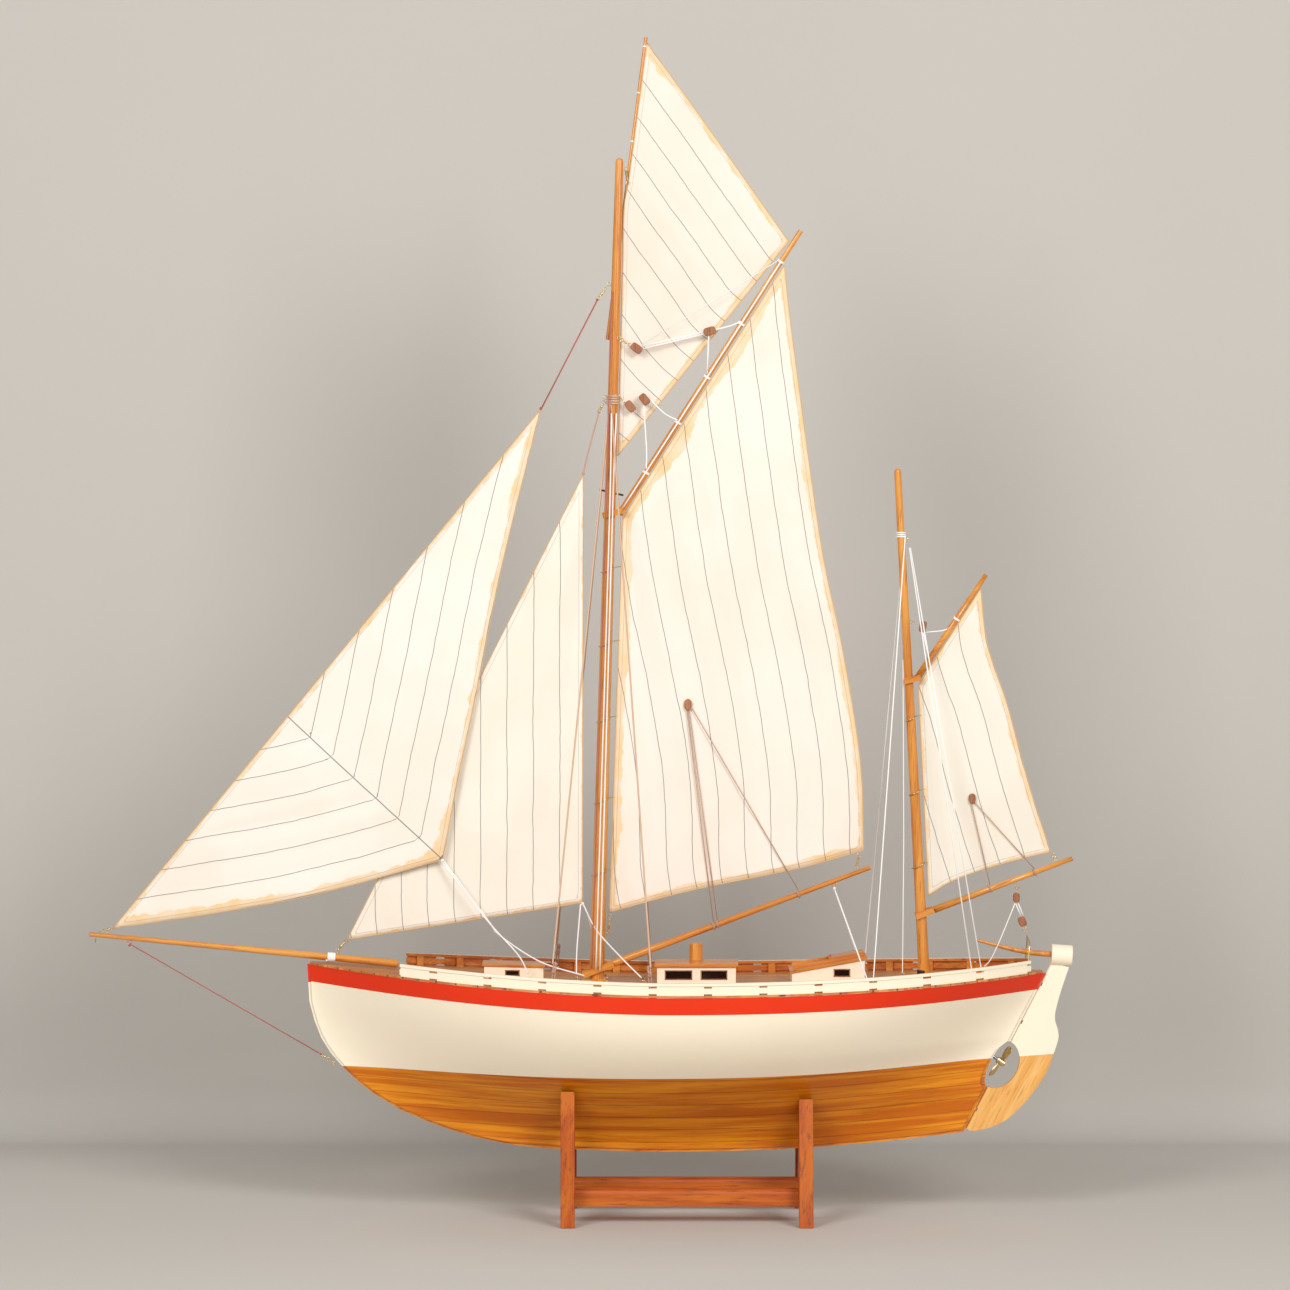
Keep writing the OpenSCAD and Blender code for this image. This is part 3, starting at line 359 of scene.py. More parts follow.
def hull_wood_material():
    g = Graph("hull varnish", 0.34, Coat_Weight=0.12, Coat_Roughness=0.1, Specular_IOR_Level=0.25)
    u, v, _ = g.split(g.uv())
    p = g.join(g.mul(u, 5.0), g.mul(v, 110.0), 0.3)
    streak = g.noise(p, 1.0, 4, 0.62, 0.3)
    fine = g.noise(p, 5.0, 3, 0.7)
    row = g.mul(v, 1 / HULL_PLANK)
    tone = g.noise(g.join(g.mul(u, 3.0), g.math("FLOOR", row), 0.0), 1.7, 1)
    colour = g.mix(g.range(streak, 0.38, 0.66), rgb(*MID_WOOD), rgb(*GOLD_WOOD))
    colour = g.mix(g.mul(g.range(tone, 0.42, 0.7), 0.35), colour, rgb(170, 80, 10))
    colour = g.mix(g.mul(g.range(fine, 0.52, 0.74), 0.42), colour, rgb(*DARK_WOOD))
    seam = g.range(g.off(g.math("FRACT", row), 0.5), 0.474, 0.492)
    g.set("Base Color", g.mix(g.mul(seam, 0.6), colour, rgb(60, 24, 8)))
    g.bump(g.sub(g.mul(fine, 0.3), seam), 0.25, 0.0003)
    return g.material


def banded(name, with_red, woods, along):
    """Varnish below the boot-top line, cream above it, and red along the sheer on the stem and sternpost."""
    g = Graph(name, 0.36, Coat_Weight=0.25, Coat_Roughness=0.15)
    x, _, z = g.split(g.coords())
    wood_part, fine = wood_colour(g, grain(g, g.coords(), along), *(rgb(*tone) for tone in woods))
    colour = g.mix(g.math("GREATER_THAN", z, paint_line(g, x)), wood_part, rgb(*CREAM))
    if with_red:
        fore, aft = (sheer_z(-262) - BAND) * MM, (sheer_z(462) - BAND) * MM
        band = g.range(x, 0.0, 0.01, fore, aft)
        colour = g.mix(g.math("GREATER_THAN", z, band), colour, rgb(*RED))
    g.set("Base Color", colour)
    g.bump(fine, 0.15, 0.0002)
    return g.material


def deck_material():
    g = Graph("deck planks", 0.42, Coat_Weight=0.2, Coat_Roughness=0.25)
    x, y, _ = g.split(g.coords())
    row = g.mul(g.add(y, 0.5), 1 / DECK_PLANK)
    index = g.math("FLOOR", row)
    edge = g.range(g.off(g.math("FRACT", row), 0.5), 0.45, 0.48)
    p = g.join(g.mul(x, 14.0), g.mul(y, 240.0), index)
    colour, fine = wood_colour(g, p, rgb(120, 60, 20), rgb(186, 112, 52), rgb(222, 156, 88))
    g.set("Base Color", g.mix(g.mul(edge, 0.8), colour, rgb(70, 34, 14)))
    g.bump(g.sub(fine, edge), 0.2, 0.0002)
    return g.material


def bulwark_material():
    """Cream paint on the outboard faces, varnish inboard."""
    g = Graph("bulwark", 0.38, Coat_Weight=0.2, Coat_Roughness=0.2)
    _, y, _ = g.split(g.coords())
    outward = g.mul(g.split(g.geometry("True Normal"))[1], g.math("SIGN", y))
    inside, fine = wood_colour(g, grain(g, g.coords(), (1, 0, 0)), rgb(110, 48, 12), rgb(190, 100, 36),
                               rgb(226, 142, 60))
    g.set("Base Color", g.mix(g.math("GREATER_THAN", outward, -0.5), inside, rgb(*CREAM)))
    g.bump(fine, 0.12, 0.0002)
    return g.material


def sail_material(name, first, pitch, base):
    """Cotton with a stitched hem, sewn panel seams and glue marks along the edges."""
    g = Graph(name, 0.92, Sheen_Weight=0.15)
    rim, reach, panel = (g.attribute(key) for key in ("rim", "reach", "panel"))
    p = g.coords()
    cloud = g.noise(p, 9, 3, 0.5)
    weave = g.noise(p, 1400, 1)
    colour = g.mix(g.range(cloud, 0.35, 0.7), rgb(*base), rgb(base[0] - 5, base[1] - 7, base[2] - 10))
    ragged = g.mul(g.sub(g.noise(p, 55, 4, 0.65), 0.5), 13.0)
    stain = g.range(g.add(reach, ragged), -0.4, 0.9)
    depth = g.range(g.noise(p, 34, 3, 0.6), 0.3, 0.75, 0.45, 0.95)
    colour = g.mix(g.mul(stain, depth), colour, rgb(240, 200, 142))
    hem = g.range(g.off(rim, 4.2), 0.2, 0.5, 1.0, 0.0)
    wobble = g.mul(g.sub(g.noise(p, 17, 3, 0.6), 0.5), 4.2)
    phase = g.math("DIVIDE", g.sub(g.add(panel, wobble), first), pitch)
    near = g.mul(g.off(phase, g.math("ROUND", phase)), pitch)
    seam = g.range(near, 0.22, 0.5, 1.0, 0.0)
    lap = g.range(near, 0.8, 3.0, 1.0, 0.0)
    mitre = g.range(g.math("ABSOLUTE", g.attribute("mitre")), 0.3, 0.9, 1.0, 0.0)
    thread = g.math("MAXIMUM", g.mul(hem, 0.3), g.mul(g.math("MAXIMUM", seam, mitre), 0.78))
    g.set("Base Color", g.mix(thread, colour, rgb(88, 94, 106)))
    g.bump(g.add(g.mul(weave, 0.4), g.sub(lap, g.mul(thread, 1.5))),
           0.35, 0.0004)
    return g.material


M = {
    "hull": hull_wood_material(),
    "cream": paint("cream paint", CREAM, CREAM_SHADE),
    "red": paint("red paint", RED, RED_SHADE, 0.34),
    "backbone": banded("backbone", True, (DARK_WOOD, MID_WOOD, GOLD_WOOD), (1, 0, 0.25)),
    "rudder": banded("rudder", False, ((196, 118, 40), (232, 168, 84), (244, 190, 112)), (0.46, 0, 0.89)),
    "deck": deck_material(),
    "bulwark": bulwark_material(),
    "roof": wood("roof varnish", (1, 0, 0.1), (134, 66, 18), (200, 116, 40), (228, 150, 66), 0.32, 0.5),
    "fore_aft": wood("varnish along", (1, 0, 0), (136, 66, 18), (204, 118, 40), (230, 152, 66)),
    "mast": wood("mast varnish", (0.03, 0, 1), *SPAR_TONES, 0.3, 0.5),
    "boom": wood("boom varnish", (0.94, 0, 0.35), *SPAR_TONES, 0.3, 0.5),
    "gaff": wood("gaff varnish", (0.54, 0, 0.84), *SPAR_TONES, 0.3, 0.5),
    "sprit": wood("sprit varnish", (1, 0, -0.1), *SPAR_TONES, 0.3, 0.5),
    "block": wood("block wood", (0, 0, 1), (74, 36, 18), (142, 84, 50), (176, 118, 78), 0.5, 0.1),
    "stand": wood("stand wood", (0.1, 0.3, 1), (112, 40, 4), (178, 76, 8), (202, 106, 22), 0.42, 0.05,
                  across=150.0, stretch=9.0),
    "stretcher": wood("stretcher wood", (1, 0, 0), (112, 40, 4), (180, 78, 8), (206, 110, 22), 0.42, 0.05),
    "brass": metal("brass", (228, 204, 152), (196, 162, 104)),
    "steel": metal("steel", (150, 150, 156), (120, 120, 126)),
    "felt": plain("felt", (44, 32, 26), (70, 52, 42), 0.95),
    "case": plain("plastic case", (30, 30, 32), (48, 48, 50), 0.6),
    "pane": plain("dark pane", (18, 15, 14), (34, 28, 24), 0.12, 30),
    "white_cord": cord_material("white cord", *WHITE_AND_GROOVE_SHADE),
    "white_line": cord_material("white line", *WHITE_AND_GROOVE_SHADE, has_uv=False),
    "pink_cord": cord_material("pink cord", (190, 112, 98), (150, 76, 66)),
    "brown_cord": cord_material("brown cord", (208, 170, 148), (158, 118, 98)),
    "brown_line": cord_material("brown line", (224, 190, 162), (178, 140, 114), has_uv=False),
    "tan_cord": cord_material("bolt rope", (222, 190, 148), (180, 140, 96)),
}


# ---- CAD nodes: finish and soft edges
def finish_node(name, mat, bevel):
    """Give a CAD node its material, and welded, softened edges without moving its vertices."""
    obj = nodes[name]
    mesh = obj.data
    old = mesh.attributes.get("custom_normal")
    if old:
        mesh.attributes.remove(old)
    mesh.materials.clear()
    mesh.materials.append(M[mat])
    for polygon in mesh.polygons:
        polygon.use_smooth = True
        polygon.material_index = 0
    weld = obj.modifiers.new("Weld", "WELD")
    weld.merge_threshold = 1e-6
    if bevel:
        dissolve = obj.modifiers.new("Flat faces", "DECIMATE")
        dissolve.decimate_type = "DISSOLVE"
        dissolve.angle_limit = math.radians(0.4)
        soft = obj.modifiers.new("Bevel", "BEVEL")
        soft.width = bevel * MM
        soft.segments = 2
        soft.limit_method = "ANGLE"
        soft.angle_limit = math.radians(38)
        soft.harden_normals = True
    else:
        sharp = obj.modifiers.new("Edges", "EDGE_SPLIT")
        sharp.split_angle = math.radians(38)


def loose_parts(mesh):
    """Face lists of a mesh's separate solids, joined where vertices share a place."""
    place = {}
    owner = list(range(len(mesh.vertices)))

    def root(i):
        while owner[i] != i:
            owner[i] = owner[owner[i]]
            i = owner[i]
        return i
    for v in mesh.vertices:
        key = tuple(round(c, 6) for c in v.co)
        owner[root(v.index)] = root(place.setdefault(key, v.index))
    for polygon in mesh.polygons:
        first = root(polygon.vertices[0])
        for i in polygon.vertices[1:]:
            owner[root(i)] = first
    parts = {}
    for polygon in mesh.polygons:
        parts.setdefault(root(polygon.vertices[0]), []).append(polygon)
    return parts.values()


def trim_node(name, mat, is_trim):
    """Give some of a node's solids a second material, chosen by their middle and size in millimetres."""
    mesh = nodes[name].data
    mesh.materials.append(M[mat])
    for part in loose_parts(mesh):
        spots = [mesh.vertices[i].co / MM for polygon in part for i in polygon.vertices]
        lo = Vector([min(p[k] for p in spots) for k in range(3)])
        hi = Vector([max(p[k] for p in spots) for k in range(3)])
        if is_trim((lo + hi) / 2, hi - lo):
            for polygon in part:
                polygon.material_index = 1


FINISHES = {
    "stand": {"stand_uprights": 0.8, "stand_cross_rails": 0.7},
    "stretcher": {"stand_stretchers": 0.6},
    "felt": {"stand_pads": 0},
    "backbone": {"backbone": 0},
    "deck": {"deck": 0},
    "bulwark": {"bulwark_boards": 0, "cap_rails": 0.5},
    "fore_aft": {"hull_frames": 0, "bulwark_stanchions": 0.3, "motor_bed": 0.3, "equipment_shelf": 0.3},
    "sprit": {"bowsprit": 0.3},
    "mast": {"main_mast": 0, "mizzen_mast": 0, "topsail_yard": 0, "funnel": 0.4, "deck_cleats": 0.3,
             "tiller": 0},
    "boom": {"main_boom": 0},
    "gaff": {"main_gaff": 0.3},
    "cream": {"fore_hatch": 0.3, "deckhouse_walls": 0.3, "aft_cabin_walls": 0.3, "rudder_head": 0.8},
    "roof": {"fore_hatch_lid": 0.5, "deckhouse_roof": 0.5, "aft_cabin_roof": 0.4, "companion_hatch": 0.4},
    "pane": {"cabin_windows": 0},
    "brown_line": {"main_shrouds": 0},
    "white_line": {"mizzen_shrouds": 0},
    "rudder": {"rudder_blade": 0.5},
    "brass": {"deck_eyes": 0, "sheet_horse": 0, "gudgeons": 0, "pintles": 0, "stern_tube": 0, "propeller": 0,
              "main_hoops": 0, "mizzen_hoops": 0},
    "steel": {"motor": 0.3, "shaft": 0},
    "case": {"radio_gear": 0.6},
}
for finish, bevels in FINISHES.items():
    for node, bevel in bevels.items():
        finish_node(node, finish, bevel)
trim_node("main_boom", "brass", lambda mid, size: max(size) < 15 and mid.z > 320)
trim_node("topsail_yard", "brass", lambda mid, size: max(size) < 30)


# ---- Shapes built here
def smooth_path(points, steps=6):
    """Points of a Catmull-Rom curve through the given ones."""
    pts = [Vector(p) for p in points]
    if len(pts) < 3:
        return pts
    ends = [2 * pts[0] - pts[1]] + pts + [2 * pts[-1] - pts[-2]]
    out = []
    for p0, p1, p2, p3 in zip(ends, ends[1:], ends[2:], ends[3:]):
        for i in range(steps):
            t = i / steps
            out.append(0.5 * (2 * p1 + (p2 - p0) * t + (2 * p0 - 5 * p1 + 4 * p2 - p3) * t * t
                              + (3 * p1 - p0 - 3 * p2 + p3) * t ** 3))
    return out + [pts[-1]]


def way(line):
    """Direction of a line from its first end to its second."""
    return (Vector(line[1]) - Vector(line[0])).normalized()


def turns(n):
    """Angles of n even steps round a full turn."""
    return [math.tau * k / n for k in range(n)]


def swing(a, b, t):
    """Turned by t from direction a towards direction b."""
    return math.cos(t) * a + math.sin(t) * b


class Shape:
    """Mesh gathered in millimetres, then made into one piece."""

    def __init__(self):
        self.verts, self.faces, self.flat, self.uvs = [], [], [], []

    def face(self, corners, uvs, flat=False):
        self.faces.append(tuple(corners))
        self.uvs.append(uvs)
        self.flat.append(flat)

    def grid(self, rows, wrap=True, caps=True, lengths=None):
        """Skin through rows of points; wrap joins each row's ends."""
        start, width = len(self.verts), len(rows[0])
        for row in rows:
            self.verts += [Vector(p) for p in row]
        lengths = lengths or list(range(len(rows)))
        for i in range(len(rows) - 1):
            for k in range(width if wrap else width - 1):
                j = (k + 1) % width
                low, high = start + i * width, start + (i + 1) * width
                u0, u1, v0, v1 = k / width, (k + 1) / width, lengths[i], lengths[i + 1]
                self.face((low + k, low + j, high + j, high + k), [(u0, v0), (u1, v0), (u1, v1), (u0, v1)])
        if caps:
            for i, order in ((0, -1), (len(rows) - 1, 1)):
                ring = range(start + i * width, start + (i + 1) * width)[::order]
                self.face(ring, [(0, 0)] * width, True)

    def skin(self, rows, uvs, order):
        """Open skin with a UV for each point; order -1 turns it over."""
        start, width = len(self.verts), len(rows[0])
        self.verts += [p for row in rows for p in row]
        for i in range(len(rows) - 1):
            for k in range(width - 1):
                quad = [(i, k), (i + 1, k), (i + 1, k + 1), (i, k + 1)][::order]
                self.face([start + a * width + b for a, b in quad], [uvs[a][b] for a, b in quad])

    def flat_grid(self, rows):
        """Closed skin through rows of points, with every face flat."""
        before = len(self.flat)
        self.grid(rows)
        self.flat[before:] = [True] * (len(self.flat) - before)

    def tube(self, points, r, r_end=None, sides=10, steps=6):
        path = smooth_path(points, steps)
        r_end = r if r_end is None else r_end
        lengths = [0]
        for a, b in zip(path, path[1:]):
            lengths.append(lengths[-1] + (b - a).length)
        across = None
        rows = []
        for i, p in enumerate(path):
            ahead = (path[min(i + 1, len(path) - 1)] - path[max(i - 1, 0)]).normalized()
            across = across - ahead * across.dot(ahead) if across else ahead.orthogonal()
            across.normalize()
            size = r + (r_end - r) * lengths[i] / max(lengths[-1], 1e-6)
            rows.append([p + size * swing(across, ahead.cross(across), t) for t in turns(sides)])
        self.grid(rows, lengths=lengths)

    def turned(self, a, b, profile, sides=16):
        """Solid of revolution on the line a-b; profile is (part of the way, radius) pairs."""
        a, b = Vector(a), Vector(b)
        ahead = (b - a).normalized()
        across = ahead.orthogonal().normalized()
        other = ahead.cross(across)
        self.grid([[a + (b - a) * t + max(r, 0.01) * swing(across, other, w) for w in turns(sides)]
                   for t, r in profile], lengths=[t * (b - a).length for t, _ in profile])

    def ball(self, c, r, tall=1.0):
        steps = [math.pi * k / 8 for k in range(9)]
        self.turned(moved(c, dz=-r * tall), moved(c, dz=r * tall),
                    [((1 - math.cos(t)) / 2, r * math.sin(t)) for t in steps], 14)

    def ring(self, c, r, wire, axis=(0, 1, 0), oval=1.0, sides=10, around=28):
        c, axis = Vector(c), Vector(axis).normalized()
        a = axis.cross((0, 0, 1)) if abs(axis.z) < 0.9 else axis.cross((1, 0, 0))
        a.normalize()
        b = axis.cross(a)
        start = len(self.verts)
        for t in turns(around):
            out = swing(a, b * oval, t)
            self.verts += [c + r * out + wire / 2 * swing(out.normalized(), axis, w) for w in turns(sides)]
        for i in range(around):
            for k in range(sides):
                j, m = (i + 1) % around, (k + 1) % sides
                u0, u1 = k / sides, (k + 1) / sides
                v0, v1 = math.tau * r * i / around, math.tau * r * (i + 1) / around
                self.face([start + n for n in (i * sides + k, j * sides + k, j * sides + m, i * sides + m)],
                          [(u0, v0), (u0, v1), (u1, v1), (u1, v0)])

    def coil(self, c, r, wire, rounds, pitch, axis):
        """Cord wound round an axis, centred on c."""
        c, axis = Vector(c), Vector(axis).normalized()
        a = axis.orthogonal().normalized()
        parts = [i / 14 for i in range(int(rounds * 14) + 1)]
        self.tube([c + axis * pitch * (part - rounds / 2) + r * swing(a, axis.cross(a), math.tau * part)
                   for part in parts], wire / 2, sides=8, steps=1)

    def box(self, c, size, axes=None):
        """Box centred on c with size along each of its axes."""
        axes = [Vector(a).normalized() for a in (axes or ((1, 0, 0), (0, 1, 0), (0, 0, 1)))]
        c, half = Vector(c), [s / 2 for s in size]
        corner = [[c + axes[0] * half[0] * i + axes[1] * half[1] * j + axes[2] * half[2] * k
                   for i, j in ((-1, -1), (1, -1), (1, 1), (-1, 1))] for k in (-1, 1)]
        self.flat_grid(corner)

    def snap(self, a, b):
        """Swivel snap: an eye, a turned barrel and a hook loop."""
        a, b = Vector(a), Vector(b)
        h = (b - a).normalized()
        eye, wire = 1.75, 0.75
        self.ring(a + 2.2 * h, eye, wire)
        self.turned(a + 3.7 * h, b - 3.7 * h, [(0, 0.5), (0.06, 0.9), (0.14, 0.9), (0.2, 0.6), (0.28, 1.15),
                                               (0.6, 1.15), (0.68, 0.7), (0.8, 0.95), (0.92, 0.8), (1, 0.4)])
        self.ring(b - 2.2 * h, eye, wire, oval=1.15 if (b - a).length > 14 else 1.0)

    def block(self, c, long, wide, t, lean):
        """Pulley block: two oval cheeks, a sheave between them and a score for its strop."""
        c = Vector(c)
        lean = math.radians(lean)
        up = Vector((math.sin(lean), 0, math.cos(lean)))
        side = Vector((math.cos(lean), 0, -math.sin(lean)))
        depth = Vector((0, 1, 0))

        def oval(y, grow):
            def square(t):
                return math.copysign(abs(t) ** 0.5, t)
            return [c + depth * y + (side * square(math.cos(w)) * wide / 2
                                     + up * square(math.sin(w)) * long / 2) * grow for w in turns(24)]
        cheek, edge, sheave = t * 0.3, 0.35, depth * t * 0.24
        self.turned(c - sheave, c + sheave,
                    [(part, wide * r) for part, r in ((0, 0.34), (0.3, 0.3), (0.7, 0.3), (1, 0.34))])
        for s in (-1, 1):
            rows = [oval(s * (t / 2 - cheek), 1.0), oval(s * (t / 2 - edge), 1.0), oval(s * t / 2, 0.86)]
            self.grid(rows[::s])
            self.box(c + up * s * long * 0.38, (wide * 0.5, t * 0.5, long * 0.16), (side, depth, up))

    def knot(self, c, r=1.3):
        """Small overhand knot: two crossed turns round a core."""
        self.ball(c, r * 0.85)
        self.ring(c, r * 0.7, r * 0.8, (1, 0.4, 0.3), around=16)
        self.ring(c, r * 0.7, r * 0.8, (0.3, 1, -0.4), around=16)

    def mesh(self, name, mat):
        mesh = bpy.data.meshes.new(name)
        mesh.from_pydata([v * MM for v in self.verts], [], self.faces)
        layer = mesh.uv_layers.new(name="UVMap")
        layer.data.foreach_set("uv", [c for face in self.uvs for uv in face for c in uv])
        for polygon, flat in zip(mesh.polygons, self.flat):
            polygon.use_smooth = not flat
        mesh.materials.append(M[mat])
        mesh.update()
        obj = bpy.data.objects.new(name, mesh)
        bpy.context.scene.collection.objects.link(obj)
        return obj

    def make(self, name, mat, body, *replaced, slot=None):
        obj = self.mesh(name, mat)
        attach(obj, body)
        if replaced:
            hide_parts(*replaced)
        return obj


# ---- Planking
def planking(name, mat, level, rows, replaced):
    """Both sides of a strip of planking; level(u, t) is the height of row t at u."""
    cols = 110
    shape = Shape()
    us = [(1 - math.cos(math.pi * i / cols)) / 2 for i in range(cols + 1)]
    for side in (1, -1):
        outer, inner, uvs = [], [], []
        for u in us:
            spots = []
            for r in range(rows + 1):
                v = level(u, r / rows)
                spots.append((hull_x(u, v), hull_y(u, v), low(u) + (top(u) - low(u)) * v, v))
            outer.append([Vector((x, side * y, z)) for x, y, z, _ in spots])
            inner.append([Vector((x, side * max(SKIN, y - SKIN), z)) for x, y, z, _ in spots])
            uvs.append([(x * MM, (v * 190 + 40) * MM) for x, _, _, v in spots])
        shape.skin(outer, uvs, side)
        shape.skin(inner, uvs, -side)
        for r, turn in ((0, -side), (rows, side)):
            shape.skin([(a[r], b[r]) for a, b in zip(outer, inner)], [(uv[r], uv[r]) for uv in uvs], turn)
    shape.make(name, mat, "boat", replaced)


def v_paint(u):
    return v_at(u, paint_z(hull_x(u, 0.5)))


def v_band(u):
    return 1 - BAND / (top(u) - low(u))


planking("hull_bottom", "hull", lambda u, t: v_paint(u) * t, 22, "bottom_planking")
planking("hull_topsides", "cream", lambda u, t: v_paint(u) + (v_band(u) - v_paint(u)) * t, 8,
         "topside_planking")
planking("hull_sheer", "red", lambda u, t: v_band(u) + (1 - v_band(u)) * t, 2, "sheer_band")


# ---- Bulwark fillers with the scuppers between them
fillers = Shape()
pitch, scupper, fore_end, aft_end = 54, 8, -177, 449
for side in (1, -1):
    for start in range(-202, 450, pitch):
        stations = [start + scupper + (pitch - scupper) * k / 6 for k in range(7)]
        stations = [min(max(x, fore_end), aft_end) for x in stations]
        if stations[-1] - stations[0] < 2:
            continue
        for near, far, z0, z1 in ((0.7, 2.1, 7, 9), (-0.3, 0.5, -2.2, 1.6)):
            corners = ((near, z1), (far, z1), (far, z0), (near, z0))[::side]
            fillers.flat_grid([[(x, side * (edge_y(x) - inset), sheer_z(x) + 2 + z) for inset, z in corners]
                               for x in stations])
fillers.make("bulwark_fillers", "bulwark", "boat")


# ---- Sails
def edge_distance(p, path):
    best = 1e9
    for a, b in zip(path, path[1:]):
        ab = b - a
        t = max(0, min(1, (p - a).dot(ab) / ab.length_squared))
        best = min(best, (p - a - ab * t).length)
    return best


def point_on(path, t):
    """Point part t of the way along a path, by length."""
    lengths = [(b - a).length for a, b in zip(path, path[1:])]
    want = t * sum(lengths)
    for a, b, length in zip(path, path[1:], lengths):
        if want <= length:
            return a.lerp(b, want / length if length else 0)
        want -= length
    return path[-1]


class Sail:
    """Sail with four edges, each a list of (X, Z). Luff and leech run up; foot and head join their ends and
    give only the points between. Seams lie pitch apart from the first, and stains are the widths of glue
    marks on luff, leech, foot and head. turn is an axis and an angle."""
    cols, rows = 64, 84

    def __init__(self, name, luff, leech, foot, head, base, first, pitch, belly, y=0.0, seed=1, mitred=False,
                 turn=None, stains=(6, 8, 6, 8)):
        self.name, cols, rows = name, self.cols, self.rows
        edges = luff, leech, [luff[0], *foot, leech[0]], [luff[-1], *head, leech[-1]]
        curves = [[p.xy for p in smooth_path([(x, z, 0) for x, z in edge], 12)] for edge in edges]
        luff, leech, foot, head = ([point_on(path, i / n) for i in range(n + 1)]
                                   for path, n in zip(curves, (rows, rows, cols, cols)))
        rng = random.Random(seed)
        folds = [(rng.uniform(0, math.tau), rng.uniform(0.7, 1.3), rng.uniform(-0.5, 0.5)) for _ in range(5)]
        outline = [(path, width) for path, width in zip(curves, stains) if (path[0] - path[-1]).length > 2]
        marks = {"rim": [], "reach": [], "panel": [], "mitre": []}
        self.points = []
        for r in range(rows + 1):
            v = r / rows
            for c in range(cols + 1):
                u = c / cols
                p = ((1 - v) * foot[c] + v * head[c] + (1 - u) * luff[r] + u * leech[r]
                     - ((1 - u) * (1 - v) * foot[0] + u * (1 - v) * foot[-1] + (1 - u) * v * head[0]
                        + u * v * head[-1]))
                away = [(edge_distance(p, path), width) for path, width in outline]
                rim = min(distance for distance, _ in away)
                swell = 1 + 0.9 * noise.noise(Vector((p.x / 70, p.y / 70, seed + 4)))
                to_leech, to_foot = edge_distance(p, curves[1]), edge_distance(p, curves[2])
                panel = min(to_leech, to_foot) if mitred else to_leech
                marks["rim"].append(rim)
                marks["reach"].append(max(width * swell - distance for distance, width in away))
                marks["panel"].append(panel)
                marks["mitre"].append(to_leech - to_foot if mitred else 50.0)
                puff = 0.35 * math.cos(math.tau * (panel - first) / pitch)
                waves = sum(0.42 * size * math.sin(phase + math.tau * (panel * (0.35 + 0.12 * k) / 26
                            + tilt * p.y / 120)) for k, (phase, size, tilt) in enumerate(folds))
                rough = 1.1 * noise.noise(Vector((p.x / 60, p.y / 95, seed)))
                flutter = 0.8 * noise.noise(Vector((p.x / 45, p.y / 45, seed + 9)))
                height = min(1, v * 0.95 + 0.02)
                out = belly * math.sin(math.pi * u) ** 0.8 * math.sin(math.pi * height) ** 0.7
                out += min(1, rim / 26) * (puff + waves * 0.55 + rough)
                out += 0.5 * flutter * (1 if rim > 0.01 else 0.6)
                self.points.append(Vector((p.x, y + out, p.y)))
        if turn:
            a, b, angle = turn
            spin = Matrix.Rotation(math.radians(angle), 4, Vector(b) - Vector(a))
            spin = Matrix.Translation(Vector(a)) @ spin @ Matrix.Translation(-Vector(a))
            self.points = [spin @ p for p in self.points]
        w = cols + 1
        shape = Shape()
        shape.grid([self.points[r * w:(r + 1) * w] for r in range(rows + 1)], wrap=False, caps=False)
        M[name] = sail_material(name + " cotton", first, pitch, base)
        self.obj = shape.mesh(name, name)
        for key, values in marks.items():
            self.obj.data.attributes.new(key, "FLOAT", "POINT").data.foreach_set("value", values)
        cut = foot + leech + head[::-1] + luff[::-1]
        self.area = abs(sum(a.cross(b) for a, b in zip(cut, cut[1:] + cut[:1]))) / 2 * MM ** 2
        spans = ([p[k] for p in self.points] for k in (0, 2))
        self.size = tuple((max(span) - min(span)) * MM for span in spans)
        solid = self.obj.modifiers.new("Thickness", "SOLIDIFY")
        solid.thickness = 0.45 * MM
        solid.offset = 0

    def border(self):
        w = self.cols + 1
        foot, head = self.points[:w], self.points[-w:]
        luff, leech = self.points[::w], self.points[w - 1::w]
        loop = foot + leech[1:] + head[-2::-1] + luff[-2::-1]
        return [p for p, q in zip(loop, loop[1:] + loop[:1]) if (p - q).length > 0.05]

    def near(self, x, z):
        return min(self.points, key=lambda p: (p.x - x) ** 2 + (p.z - z) ** 2)

    def hang(self, body, node):
        rope = Shape()
        path = self.border()
        rope.tube(path + [path[0]], 0.55, sides=7, steps=1)
        edge = rope.make(self.name + "_bolt_rope", "tan_cord", body)
        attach(self.obj, body)
        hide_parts(node)


main_sail = Sail(
    "main_sail", luff=[(28.8, 307), (35.6, 504), (42.5, 702)],
    leech=[(283.5, 369), (280, 459), (262, 571.6), (240.4, 677), (213.5, 868.5), (203.5, 954)],
    foot=[(112, 329), (218.5, 351)], head=[(123, 828)],
    base=(244, 234, 222), first=13.5, pitch=26.3, belly=3.0, seed=3, stains=(8, 5.5, 6, 9))
by_mast = [(main_x(z) + main_r(z) + 1.2, z) for z in (764, 826, 950, 1008)]
top_sail = Sail(
    "top_sail", luff=by_mast + [(48.4, 1040), (57.5, 1108), (66.5, 1176)],
    leech=[(208, 978), (137.5, 1077.5), (66.5, 1176)], foot=[(123, 871)], head=[],
    base=(239, 227, 214), first=0.0, pitch=25.5, belly=1.5, y=3.2, seed=5, stains=(1, 6, 5, 0))
